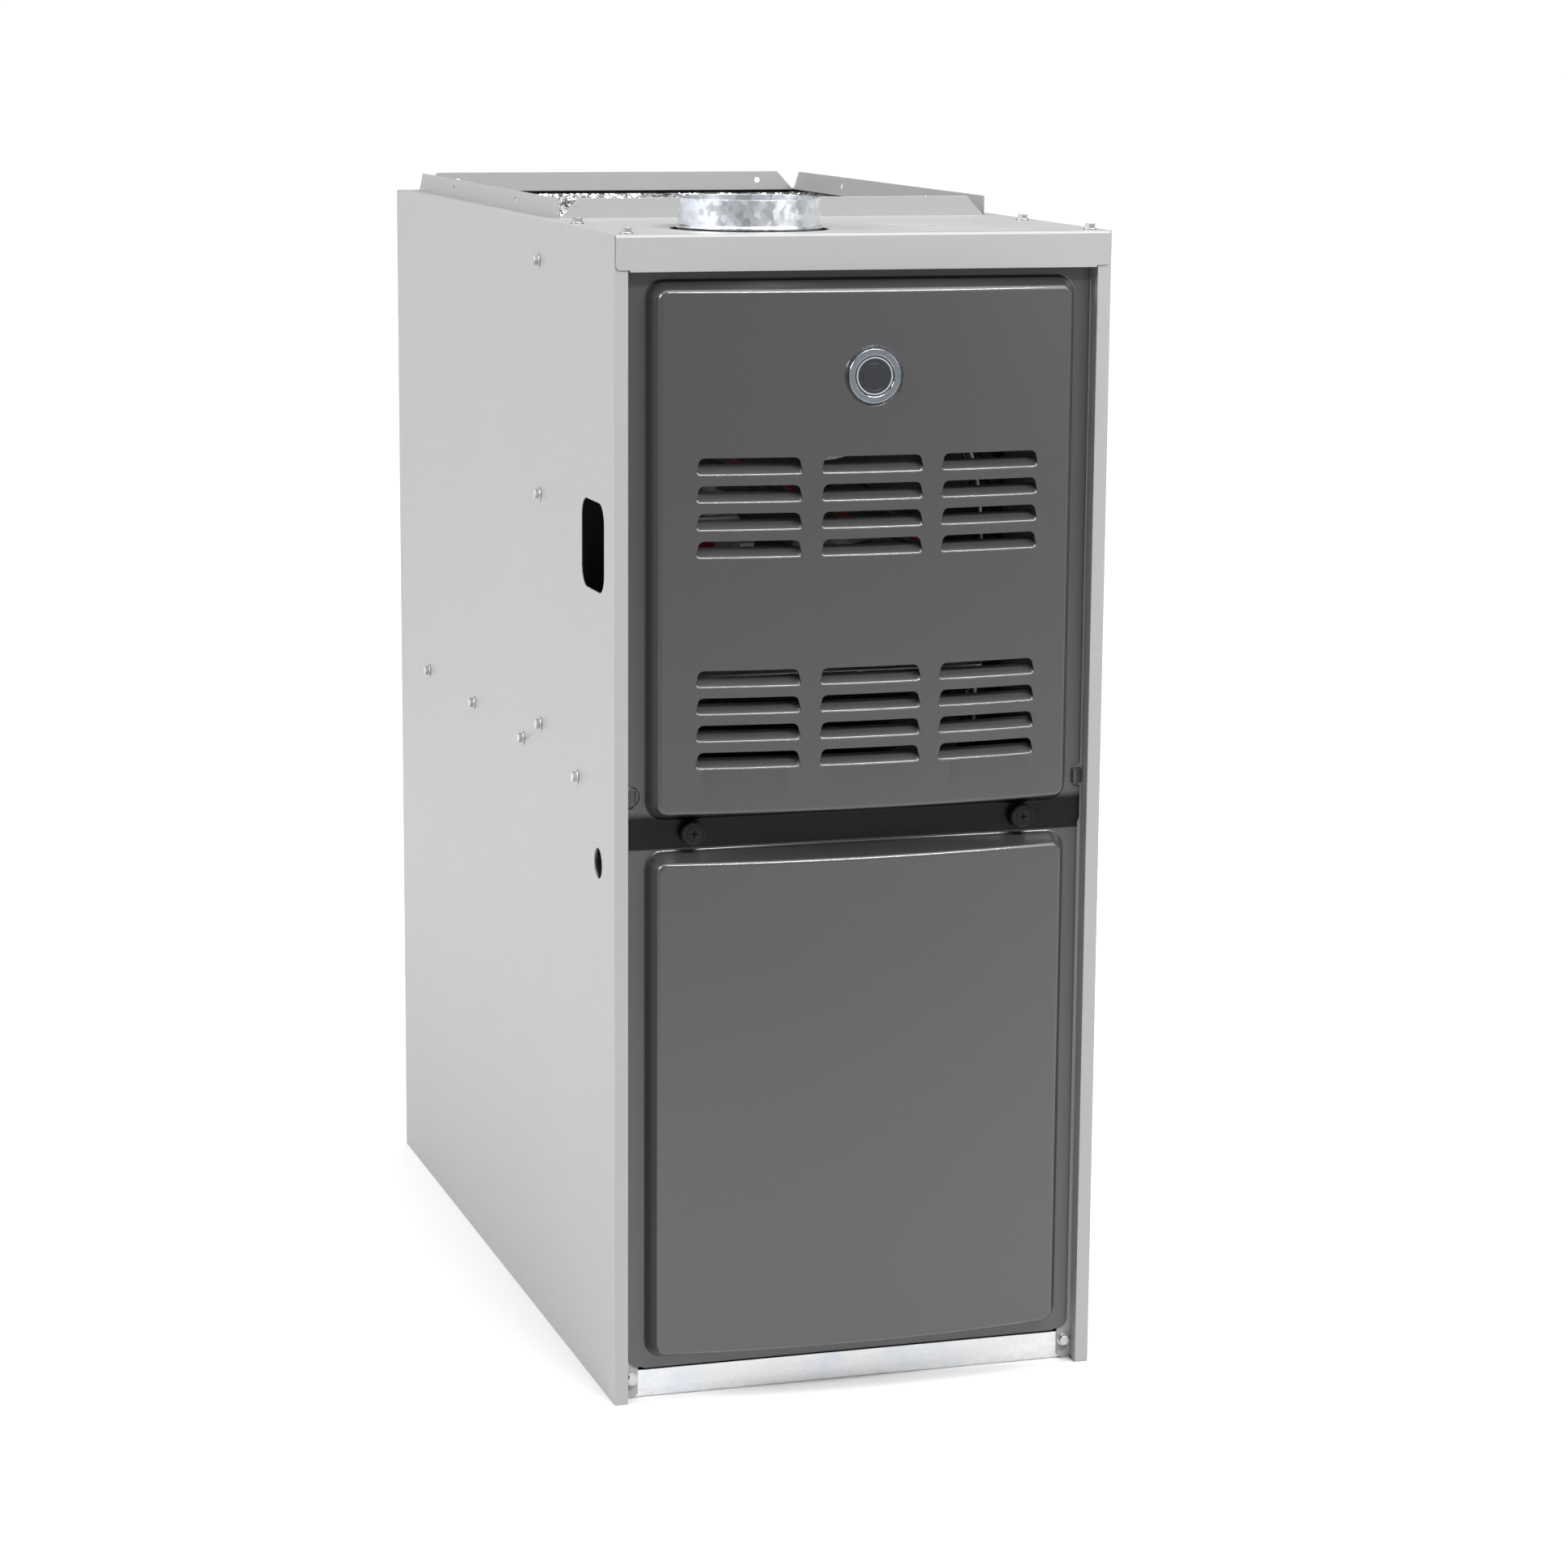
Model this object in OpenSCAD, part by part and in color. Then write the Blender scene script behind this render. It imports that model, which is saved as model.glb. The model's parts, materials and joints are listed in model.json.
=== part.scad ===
// Forced air gas furnace: an upright sheet-metal cabinet with a burner compartment above
// and a blower compartment below. Millimetres. The origin is the centre of the cabinet's
// base, +Z is up, and the doors face -Y. Depths named "back" are counted from the plane of
// the cabinet's front flanges.

/* [Cabinet] */
// Width of the cabinet
cab_w = 368; // [364:2:440]
// Depth of the cabinet, from the front flanges to the back panel
cab_d = 730; // [720:5:760]
// Height of the cabinet up to the top panel
cab_h = 846; // [842:2:870]
// Height of the burner compartment, from the blower deck to the top panel
burner_room_h = 406; // [404:1:412]
// Thickness of the casing sheet
sheet = 1; // [0.8:0.1:1.2]
// Gap between sheets that are screwed or hooked together
seat_gap = 0.2; // [0.1:0.05:0.3]
// Width of the front flange of a side panel
front_flange_w = 10; // [9:0.5:12]
// How far the inner flange lies behind the front flange
inner_flange_back = 12; // [11.5:0.1:12.5]
// Width of the inner flange, past the return wall
inner_flange_w = 10.5; // [9:0.5:11]
// Width of the flanges that stiffen the other edges
stiff_flange_w = 10; // [8:1:12]

/* [Top] */
// Height of the fascia lip over the doors
fascia_h = 26; // [24:0.5:27]
// Radius of the fascia's lower corners
fascia_corner_r = 3; // [2:0.5:4]
// Radius of the bend between fascia and top panel
top_bend_r = 2.5; // [2:0.5:3]
// How much shorter the fascia is over the side flanges
fascia_step = 1.4; // [1:0.2:2]
// How far back the duct opening starts
duct_back = 222; // [218:1:226]
// Inset of the duct flange from the cabinet's outside
duct_inset = 16; // [15:0.5:18]
// Height of the duct flange
duct_flange_h = 15; // [12:1:18]
// Diameter of the hole round the flue collar
flue_hole_d = 114; // [112:1:116]
// Distance of the flue to the left of the centre
flue_left = 66; // [60:1:70]
// How far back the flue stands
flue_back = 70; // [69:0.5:71]
// Outer diameter of the flue collar
collar_d = 101.6; // [98:0.2:102.4]
// Rise of the flue collar over the top panel
collar_rise = 22; // [18:1:26]
// Thickness of the collar's sheet
collar_t = 0.7; // [0.6:0.1:1]
// Size of the bead round the collar
bead_r = 1.9; // [1.5:0.1:2.2]
// Length of each slot in the top panel
slot_l = 72; // [60:2:76]
// Width of each slot
slot_w = 4; // [3:0.5:5]
// Distance between slots
slot_pitch = 25; // [20:1:26]
// Number of slots
slot_n = 5; // [3:1:5]
// Diameter of the small holes in the duct flange
duct_hole_d = 5; // [4:0.5:6]

/* [Side openings] */
// Side of the square gas opening
gas_opening_w = 64; // [58:1:66]
// Corner radius of the gas opening
gas_opening_r = 14; // [10:1:16]
// Height of the gas line over the burners
gas_line_rise = 63; // [60:1:66]
// How far back the gas line lies
gas_line_back = 61; // [58:1:62]
// Radius of the round hole for the wiring
wiring_hole_r = 11.1; // [10:0.1:12]
// Depth of the wiring hole's middle under the blower deck
wiring_hole_drop = 46; // [44:1:50]
// How far back the wiring hole lies
wiring_hole_back = 47; // [45:1:50]

/* [Screws] */
// Radius of a hex screw's washer
washer_r = 4.9; // [4.4:0.1:5.2]
// Thickness of the washer
washer_t = 1; // [0.8:0.1:1.2]
// Width across the flats of the hex head
hex_af = 6.9; // [6.4:0.1:7.6]
// Height of the hex head
hex_h = 3.4; // [3:0.1:4]
// Radius of the screw's shank
shank_r = 2; // [1.8:0.1:2.2]
// Length of the screw's shank under the washer
shank_l = 8; // [6:1:9]

/* [Doors] */
// Thickness of the door sheet
door_sheet = 0.8; // [0.7:0.05:0.9]
// Gap between the door's edge and the cabinet's return wall
door_side_gap = 2; // [1.5:0.5:2.5]
// Gap between the lower edge of the upper door and the raised part of the lower door
split_gap = 3; // [2.5:0.5:4]
// Depth of the upper door's lower edge under the blower deck
split_drop = 30; // [29:1:32]
// Lap of the lower door behind the upper door
split_lap = 5; // [4:0.5:6]
// Distance of the raised part from the door's edge
raised_inset = 13.5; // [12:0.5:16]
// Depth of the raised part at its sides
raised_wall = 14; // [12:0.5:16]
// Extra depth of the crown at the middle
raised_crown = 14; // [8:0.5:15]
// How much the walls of the raised part lean in
raised_draft = 4.6; // [3:0.2:5.2]
// Corner radius of the raised part
raised_corner_r = 12; // [11:0.5:14]
// Radius of the raised part's bright front edge
raised_edge_r = 3.5; // [2.5:0.5:4]
// Height of the plain strip at the foot of the upper door
foot_strip_h = 22; // [20:0.5:24]
// Corner radius of the upper door's sheet
door_corner_r = 8; // [6:1:10]
// Radius of the notches in the upper door's edges
notch_r = 9; // [8:0.5:10]
// Height of the notches over the upper door's lower edge
notch_rise = 38.5; // [37:0.5:40]

/* [Louvres] */
// Width of a louvre at its fold
louvre_w = 76; // [66:1:80]
// Height of a louvre
louvre_h = 12.4; // [9:0.2:13.5]
// How much narrower a louvre gets on each side towards its top
louvre_taper = 1.5; // [1:0.5:4]
// Radius of a louvre's top corners
louvre_corner_r = 4.5; // [3.5:0.5:5]
// How far the ends of a louvre's fold curl up
louvre_curl = 2; // [1:0.5:2.5]
// Distance between louvre columns
louvre_col_pitch = 89.5; // [84:0.5:92]
// Distance between louvre rows
louvre_row_pitch = 19.5; // [17:0.5:20]
// Rows in each group of louvres
louvre_rows = 4; // [2:1:4]
// Height of the lower group's first fold over the raised part's foot
louvre_foot = 37.5; // [32:0.5:40]
// Distance between the two groups of louvres
louvre_group_pitch = 150.5; // [142:0.5:158]
// How far a louvre blade is bent in from the door's face
louvre_bend = 50; // [35:1:60]
// Outer radius of a louvre's fold
louvre_fold_r = 1.8; // [1.4:0.1:2.4]

/* [Badge] */
// Diameter of the badge's recess
badge_recess_d = 45; // [42:0.5:48]
// Width of the recess's sloped lip
badge_lip_w = 2.2; // [1:0.2:2.6]
// Depth of the badge's recess
badge_recess_h = 1.2; // [1:0.1:1.6]
// Diameter of the badge
badge_d = 38.5; // [34:0.5:40]
// Width of the badge's bright ring
badge_ring_w = 5; // [4:0.2:6]
// Radius of the bright ring's two edges
badge_edge_r = 0.7; // [0.4:0.1:1]
// Thickness of the badge
badge_t = 2.2; // [1.8:0.2:3]
// Depth of the badge's middle under the raised part's top
badge_drop = 66; // [60:1:72]

/* [Thumb screws] */
// Distance of a thumb screw from the door's edge
thumb_inset = 47; // [44:1:60]
// Diameter of the knob
knob_d = 18; // [14:0.5:18]
// Height of the knob
knob_h = 7.8; // [6.5:0.1:9]
// Number of knurls on the knob
knob_knurls = 40; // [24:1:44]
// Radius of the threaded shank
thumb_shank_r = 2.9; // [2.4:0.1:3.1]
// Reach of the shank behind the door's face
thumb_reach = 7; // [6.8:0.1:7.4]

/* [Burner compartment] */
// Height of the burners over the blower deck
burner_rise = 120; // [112:1:124]
// Distance between burners
burner_pitch = 84; // [80:1:92]
// Number of burners and heat exchanger tubes
burner_n = 3; // [2:1:3]
// Outer radius of a heat exchanger tube
tube_r = 19; // [17:0.5:20]
// Wall of a heat exchanger tube
tube_t = 1; // [0.8:0.1:1.2]
// Depth of the tubes' highest pass under the top panel
tube_top_gap = 58; // [54:1:62]
// Depth of the collector box
collector_d = 70; // [60:1:76]
// Depth of the inducer's shaft under the top panel
inducer_drop = 104; // [100:1:108]
// Radius of the inducer wheel
inducer_wheel_r = 48; // [42:1:50]
// Width of the inducer housing
inducer_w = 44; // [42:1:46]
// Outer radius of the inducer's outlet
inducer_outlet_r = 38; // [36:0.5:39]
// Length of the gas valve
valve_l = 78; // [70:1:84]
// Bore radius of the gas valve's inlet
valve_bore_r = 9.2; // [8.6:0.1:10]
// Radius of the manifold pipe
manifold_r = 10.7; // [9:0.1:11]

/* [Blower compartment] */
// Height of the blower's shaft over the base
shaft_z = 222; // [216:1:228]
// Gap between the blower wheel and its scroll at the cut-off
scroll_gap = 12; // [10:1:14]
// How much the scroll's radius grows round the wheel
scroll_growth = 52; // [44:1:56]
// Gap between the plane of the vestibule panel and the scroll
blower_gap = 19; // [14:1:24]
// Width of the blower housing
blower_w = 214; // [200:2:220]
// Radius of the blower wheel
blower_wheel_r = 125; // [115:1:127]
// Number of blades on the blower wheel
blade_n = 32; // [24:1:36]
// Radius of the blower motor
motor_r = 69; // [64:1:72]
// Length of the blower motor
motor_l = 112; // [100:2:116]
// Radius of the inlet holes in the blower housing
inlet_r = 108; // [100:1:110]
// Height of the base rail
rail_h = 21; // [19:0.5:21]
// Travel of the door switch's plunger
plunger_travel = 4; // [3:0.5:4]

/* [Hidden] */
$fn = 48;

half_w = cab_w / 2;
inner_x = half_w - sheet;
front_y = -cab_d / 2;
return_x = half_w - front_flange_w;
inner_edge_x = return_x - inner_flange_w;
duct_x = half_w - duct_inset;
back_inner = cab_d - sheet;
hole_gap = 0.15;
poke = 1;

deck_z = cab_h - burner_room_h;
burner_z = deck_z + burner_rise;
gas_line_z = burner_z + gas_line_rise;
inducer_z = cab_h - inducer_drop;
tube_pass = (cab_h - tube_top_gap - burner_z) / 3;
wiring_hole_z = deck_z - wiring_hole_drop;
split_z = deck_z - split_drop;
notch_z = split_z + notch_rise;

screw_row_back = duct_back - 4;
side_screw_zs = [cab_h - 30, cab_h - 204, deck_z + 27.5];
deck_screw_z = deck_z + 7;
deck_screw_near = 106;
deck_screw_far = 117;
deck_screw_backs = [for (i = [0:3])
    deck_screw_near + i * (cab_d - deck_screw_near - deck_screw_far) / 3];
top_screw_backs = [inner_flange_back, 150];
top_screw_x = half_w - 12;
rail_screw_x = inner_edge_x + 5;
rail_screw_z = 15;
back_screw_x = inner_x - 5;
back_screw_zs = [45, deck_z - 50, deck_z + 150, cab_h - 45];

upper_back = 9.7;
lower_back = upper_back + door_sheet + 0.3;
door_half_w = return_x - door_side_gap;
raised_half_w = door_half_w - raised_inset;
thumb_x = door_half_w - thumb_inset;
raised_top_gap = 33;
lower_foot_z = 32;
upper_raised = [split_z + foot_strip_h, cab_h - raised_top_gap];
lower_raised = [lower_foot_z, split_z - split_gap];
thumb_z = split_z + foot_strip_h / 2;
louvre_low_z = upper_raised[0] + louvre_foot;
louvre_high_z = louvre_low_z + louvre_group_pitch;
badge_z = upper_raised[1] - badge_drop;

function crown(x) = raised_wall + raised_crown * (1 - pow(x / raised_half_w, 2));
function arc(cx, cy, r, a0, a1, n) =
    [for (i = [0:n]) let(a = a0 + (a1 - a0) * i / n) [cx + r * cos(a), cy + r * sin(a)]];
function rounded(x0, y0, x1, y1, r, n = 8) = concat(
    arc(x1 - r, y0 + r, r, -90, 0, n), arc(x1 - r, y1 - r, r, 0, 90, n),
    arc(x0 + r, y1 - r, r, 90, 180, n), arc(x0 + r, y0 + r, r, 180, 270, n));

// Places what is drawn from the front plane back.
module from_front(back = 0) {
    translate([0, front_y + back, 0]) children();
}

// A bar between two corners, whichever order their numbers come in.
module bar(a, b) {
    low = [for (i = [0:2]) min(a[i], b[i])];
    high = [for (i = [0:2]) max(a[i], b[i])];
    translate(low) cube(high - low);
}

// A cylinder along X, Y or -Y through a point.
module rod_x(p, r, l) {
    translate(p) rotate([0, 90, 0]) cylinder(r = r, h = l);
}
module rod_y(p, r, l) {
    translate(p) rotate([-90, 0, 0]) cylinder(r = r, h = l);
}

// A flat outline in X and Z, thick from y0 towards the back.
module upright(points, t) {
    translate([0, t, 0]) rotate([90, 0, 0]) linear_extrude(t) polygon(points);
}

// A flat outline in Y and Z, thick from x = 0 towards +X.
module sideways(points, t) {
    rotate([90, 0, 90]) linear_extrude(t) polygon(points);
}

module hex_screw() {
    rotate([-90, 0, 0]) {
        translate([0, 0, -washer_t]) cylinder(r = washer_r, h = washer_t);
        translate([0, 0, -washer_t - hex_h])
            cylinder(d = hex_af / cos(30), h = hex_h, $fn = 6);
        cylinder(r = shank_r, h = shank_l);
    }
}

/* ---- casing ---- */

module side_holes() {
    for (z = side_screw_zs)
        rod_x([inner_x - stiff_flange_w, screw_row_back, z], shank_r + hole_gap, 30);
    for (b = deck_screw_backs)
        rod_x([inner_x - poke, b, deck_screw_z], shank_r + hole_gap, 3);
    rod_x([inner_x - poke, wiring_hole_back, wiring_hole_z], wiring_hole_r, sheet + 2 * poke);
    g = gas_opening_w / 2;
    translate([inner_x - poke, 0, 0])
        sideways(rounded(gas_line_back - g, gas_line_z - g, gas_line_back + g,
            gas_line_z + g, gas_opening_r), sheet + 2 * poke);
}

// One side panel, drawn for +X.
module side_panel() {
    flange_top = cab_h - top_bend_r - seat_gap;
    from_front() difference() {
        union() {
            bar([inner_x, 0, 0], [half_w, cab_d - sheet, cab_h]);
            bar([return_x, 0, 0], [half_w, sheet, flange_top]);
            difference() {
                bar([return_x, 0, 0],
                    [return_x + sheet, inner_flange_back + sheet, flange_top]);
                translate([return_x - poke, 0, 0])
                    sideways([[2, -1], [inner_flange_back, -1], [inner_flange_back, 3]],
                        sheet + 2 * poke);
            }
            upright_tab();
            bar([inner_x - stiff_flange_w, back_inner - sheet, 0],
                [half_w, back_inner, cab_h - sheet - seat_gap]);
            bar([inner_x - stiff_flange_w, inner_flange_back + 2 * sheet, cab_h - 2 * sheet - seat_gap],
                [inner_x, duct_back - 4 * sheet, cab_h - sheet - seat_gap]);
            bar([duct_x - sheet, duct_back + sheet, cab_h - sheet],
                [half_w, cab_d - sheet, cab_h]);
            duct_side_flange();
        }
        side_holes();
        for (b = top_screw_backs)
            translate([top_screw_x, b, cab_h - 12]) cylinder(r = shank_r + hole_gap, h = 12 - sheet);
        rod_y([rail_screw_x, 0, rail_screw_z], shank_r + hole_gap, inner_flange_back + 2 * sheet);
        for (z = back_screw_zs)
            rod_y([back_screw_x, back_inner - 3, z], shank_r + hole_gap, 6);
    }
}

module upright_tab() {
    translate([0, inner_flange_back, 0])
        upright([[inner_edge_x + 3.5, 0], [return_x + sheet, 0],
            [return_x + sheet, cab_h - sheet - seat_gap],
            [inner_edge_x, cab_h - sheet - seat_gap], [inner_edge_x, 3.5]], sheet);
}

module duct_side_flange() {
    end = cab_d - duct_inset;
    difference() {
        translate([duct_x - sheet, 0, 0])
            sideways([[duct_back + sheet, cab_h - sheet], [end - sheet, cab_h - sheet],
                [end - sheet - duct_flange_h, cab_h + duct_flange_h],
                [duct_back + sheet, cab_h + duct_flange_h]], sheet);
        for (s = [0.28, 0.72])
            rod_x([duct_x - 2 * sheet, duct_back + s * (end - duct_back), cab_h + duct_flange_h / 2],
                duct_hole_d / 2, 3 * sheet);
    }
}

module left_side_panel() {
    color("gainsboro") mirror([1, 0, 0]) side_panel();
}

module right_side_panel() {
    color("gainsboro") side_panel();
}

module back_panel() {
    top = cab_h - sheet;
    edge = duct_x - sheet - seat_gap;
    flange_back = cab_d - duct_inset;
    color("gainsboro") from_front() {
        difference() {
            bar([-inner_x, back_inner, 0], [inner_x, cab_d, cab_h]);
            for (s = [-1, 1], z = back_screw_zs)
                rod_y([s * back_screw_x, back_inner - 1, z], shank_r + hole_gap, 3);
        }
        bar([-edge, flange_back - sheet, top], [edge, cab_d, cab_h]);
        translate([0, flange_back - sheet, 0]) difference() {
            upright([[-edge, top], [edge, top], [edge - duct_flange_h, cab_h + duct_flange_h],
                [-edge + duct_flange_h, cab_h + duct_flange_h]], sheet);
            for (s = [-1, 1])
                rod_y([s * (edge - 2.2 * duct_flange_h), -1, cab_h + duct_flange_h / 2],
                    duct_hole_d / 2, 3 * sheet);
        }
    }
}

module top_panel() {
    lip_half = half_w - sheet;
    top = cab_h;
    low = cab_h - fascia_h;
    edge = duct_x - seat_gap;
    r = top_bend_r;
    profile = concat([[-sheet, low]],
        arc(-sheet + r, top - r, r, 180, 90, 6),
        [[duct_back + sheet, top], [duct_back + sheet, top - sheet]],
        arc(-sheet + r, top - r, r - sheet, 90, 180, 6), [[0, low]]);
    color("gainsboro") from_front() difference() {
        union() {
            intersection() {
                translate([-lip_half, 0, 0]) sideways(profile, 2 * lip_half);
                fascia_outline(lip_half, low);
            }
            translate([0, duct_back, 0])
                upright([[-edge, top - sheet], [edge, top - sheet],
                    [edge - duct_flange_h, top + duct_flange_h],
                    [-edge + duct_flange_h, top + duct_flange_h]], sheet);
        }
        // The plate lies between the side panels, with a fine gap on each side.
        for (s = [-1, 1])
            bar([s * (inner_x - 2 * seat_gap), sheet, low], [s * half_w, duct_back + 2 * sheet, top + 1]);
        translate([-flue_left, flue_back, top - 2 * sheet]) cylinder(d = flue_hole_d, h = 4 * sheet);
        for (i = [0:slot_n - 1])
            translate([81, 30 + i * slot_pitch, top - 2 * sheet]) top_slot();
        for (s = [-1, 1], b = top_screw_backs)
            translate([s * top_screw_x, b, top - 2 * sheet])
                cylinder(r = shank_r + hole_gap, h = 4 * sheet);
    }
}

// The lip's front outline: rounded lower corners, and a step over each side flange.
module fascia_outline(lip_half, low) {
    step_x = lip_half - front_flange_w;
    r = fascia_corner_r;
    translate([0, -10, 0]) upright(concat(
        [[-step_x, low], [step_x, low], [step_x, low + fascia_step]],
        arc(lip_half - r, low + fascia_step + r, r, -90, 0, 6),
        [[lip_half, cab_h + 5], [-lip_half, cab_h + 5]],
        arc(-lip_half + r, low + fascia_step + r, r, 180, 270, 6),
        [[-step_x, low + fascia_step]]), duct_back + 20);
}

module top_slot() {
    for (s = [-1, 1])
        translate([s * (slot_l - slot_w) / 2, 0, 0]) cylinder(d = slot_w, h = 4 * sheet);
    translate([-(slot_l - slot_w) / 2, -slot_w / 2, 0]) cube([slot_l - slot_w, slot_w, 4 * sheet]);
}

module base_pan() {
    x = inner_x - seat_gap;
    f = 18;
    near = inner_flange_back + 2 * sheet + seat_gap;
    far = back_inner - sheet - seat_gap;
    color("silver") from_front() {
        bar([-x, near, 0], [x, far, sheet]);
        for (s = [-1, 1]) bar([s * x, near, 0], [s * (x - sheet), far, f]);
        bar([-x, far - sheet, 0], [x, far, f]);
    }
}

module front_base_rail() {
    x = inner_x - 2 * sheet;
    back = inner_flange_back + sheet;
    color("lightsteelblue") from_front() difference() {
        union() {
            bar([-x, back, sheet + seat_gap], [x, back + sheet, rail_h]);
            bar([-x, back, sheet + seat_gap], [x, back + 14, 2 * sheet + seat_gap]);
        }
        for (s = [-1, 1]) rod_y([s * rail_screw_x, 0, rail_screw_z], shank_r + hole_gap, 30);
    }
}

/* ---- inner walls ---- */

scroll_z = shaft_z;
scroll_r0 = blower_wheel_r + scroll_gap;
scroll_r1 = scroll_r0 + scroll_growth;
scroll_y = duct_back + blower_gap + scroll_r1;

module deck_hole() {
    free = housing_sheet + 0.6;
    bar([-blower_w / 2 - free, scroll_y - scroll_r1 - free, deck_z - 9],
        [blower_w / 2 + free, scroll_y + scroll_r0 * cos(45) + free, deck_z + 9]);
}

module blower_deck() {
    between = inner_edge_x - 0.3;
    drop = 36;
    near = inner_flange_back + sheet + 0.3;
    x = inner_x - seat_gap;
    color("lightsteelblue") from_front() difference() {
        union() {
            bar([-x, near, deck_z], [x, back_inner - sheet - seat_gap, deck_z + sheet]);
            bar([-between, inner_flange_back, deck_z - drop],
                [between, inner_flange_back + sheet, deck_z + sheet]);
            bar([-between, inner_flange_back, deck_z], [between, near, deck_z + sheet]);
            for (s = [-1, 1]) {
                bar([s * x, near, deck_z], [s * (x - sheet), back_inner - sheet - seat_gap, deck_z + 14]);
                bar([s * (between - 13), inner_flange_back, deck_z],
                    [s * between, inner_flange_back + sheet, deck_z + 13]);
            }
        }
        deck_hole();
        for (s = [-1, 1]) {
            rod_y([s * thumb_x, 0, thumb_z], thumb_shank_r + 0.5, 20);
            for (b = deck_screw_backs)
                rod_x([s * x - 3, b, deck_screw_z], shank_r + hole_gap, 6);
        }
        rod_y([plunger_x, 0, plunger_z], plunger_r + 0.4, 20);
    }
}

// Two bent clips on the deck's ears: each nose stands in a notch of the upper door.
module door_clips() {
    clip_h = 11.5;
    nose = return_x - sheet;
    heel = nose - 7;
    front = upper_back - 2.6;
    color("dimgray") from_front() for (s = [-1, 1]) {
        bar([s * (inner_edge_x - 5), inner_flange_back - sheet, notch_z - clip_h / 2],
            [s * nose, inner_flange_back, notch_z + clip_h / 2]);
        translate([0, 0, notch_z - clip_h / 2]) linear_extrude(clip_h - 1)
            polygon([for (p = [[heel, inner_flange_back - 0.5], [heel, front + 1.2],
                [heel + 2.2, front], [nose, front + 1.6], [nose, inner_flange_back - 0.5]])
                [s * p[0], p[1]]]);
    }
}

module vestibule_panel() {
    x = inner_x - seat_gap;
    low = deck_z + sheet + seat_gap;
    high = cab_h - 2 * sheet - 2 * seat_gap;
    color("lightsteelblue") from_front() difference() {
        union() {
            bar([-x + 1.5, duct_back, low], [x - 1.5, duct_back + sheet, high]);
            for (s = [-1, 1])
                bar([s * x, duct_back - 11, low + 15], [s * (x - 1.5), duct_back + sheet, high]);
        }
        for (z = side_screw_zs, s = [-1, 1])
            rod_x([s * x - 4, screw_row_back, z], shank_r + hole_gap, 8);
        for (x = burner_xs, z = pass_ends)
            rod_y([x, duct_back - 5, z], tube_r + 0.3, 10);
        rod_y([0, duct_back - 5, limit_z], 8.3, 10);
    }
}

// A liner against the left, back and right walls round the heat exchanger.
module foil_insulation() {
    outer = inner_x - 0.4;
    inner = duct_x - sheet + 1;
    low = deck_z + 15;
    high = cab_h - 2 * sheet - 0.6;
    near = duct_back + sheet + 0.6;
    far = back_inner - sheet - 0.6;
    color("whitesmoke") from_front() difference() {
        bar([-outer, near, low], [outer, far, high]);
        bar([-inner, near - 1, low - 1], [inner, far - (outer - inner), high + 1]);
        for (s = [-1, 1], z = back_screw_zs)
            rod_y([s * back_screw_x, far - 12, z], shank_r + hole_gap, 20);
    }
}

/* ---- heat exchanger and burners ---- */

burner_xs = [for (i = [0:burner_n - 1]) (i - (burner_n - 1) / 2) * burner_pitch];
pass_zs = [for (i = [0:3]) burner_z + i * tube_pass];
pass_ends = [pass_zs[0], pass_zs[3]];
tube_far = cab_d - 120;
tube_turn = duct_back + 70;
limit_z = burner_z + 1.5 * tube_pass;

module pipe_y(x, z, y0, y1) {
    translate([x, y0, z]) rotate([-90, 0, 0]) difference() {
        cylinder(r = tube_r, h = y1 - y0);
        translate([0, 0, -poke]) cylinder(r = tube_r - tube_t, h = y1 - y0 + 2 * poke);
    }
}

// A half turn between two passes; back is 1 at the far end and -1 at the near end.
module return_bend(x, z, y, back) {
    translate([x, y, z]) rotate([0, 90, 0]) rotate([0, 0, back > 0 ? 0 : 180])
        rotate_extrude(angle = 180) translate([tube_pass / 2, 0]) difference() {
            circle(r = tube_r);
            circle(r = tube_r - tube_t);
        }
}

module heat_exchanger_tubes() {
    near = duct_back - 3;
    mid = tube_pass / 2;
    color("lightgray") from_front() for (x = burner_xs) {
        pipe_y(x, pass_zs[0], near, tube_far);
        pipe_y(x, pass_zs[1], tube_turn, tube_far);
        pipe_y(x, pass_zs[2], tube_turn, tube_far);
        pipe_y(x, pass_zs[3], near, tube_far);
        return_bend(x, pass_zs[0] + mid, tube_far, 1);
        return_bend(x, pass_zs[1] + mid, tube_turn, -1);
        return_bend(x, pass_zs[2] + mid, tube_far, 1);
    }
}

inducer_x = -flue_left + inducer_outlet_r + 14;
collector_low = inducer_z - 50;
collector_high = pass_zs[3] + tube_r + 12;
collector_front = duct_back - collector_d;
inducer_back0 = flue_back - inducer_w / 2;
inducer_back1 = flue_back + inducer_w / 2;
eye_r = 28;

module collector_box() {
    x = burner_xs[burner_n - 1] + tube_r + 18;
    b = duct_back - seat_gap;
    color("lightgray") from_front() difference() {
        union() {
            bar([-x, collector_front, collector_low], [x, b, collector_high]);
            bar([-x - 8, b - sheet, collector_low - 8], [x + 8, b, collector_high + 4]);
            rod_y([inducer_x, inducer_back1 + 0.3, inducer_z], eye_r + 2,
                collector_front - inducer_back1);
        }
        bar([-x + sheet, collector_front + sheet, collector_low + sheet],
            [x - sheet, b + 1, collector_high - sheet]);
        rod_y([inducer_x, 0, inducer_z], eye_r, duct_back - 20);
    }
}

bracket_x = burner_xs[burner_n - 1] + 46;

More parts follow.
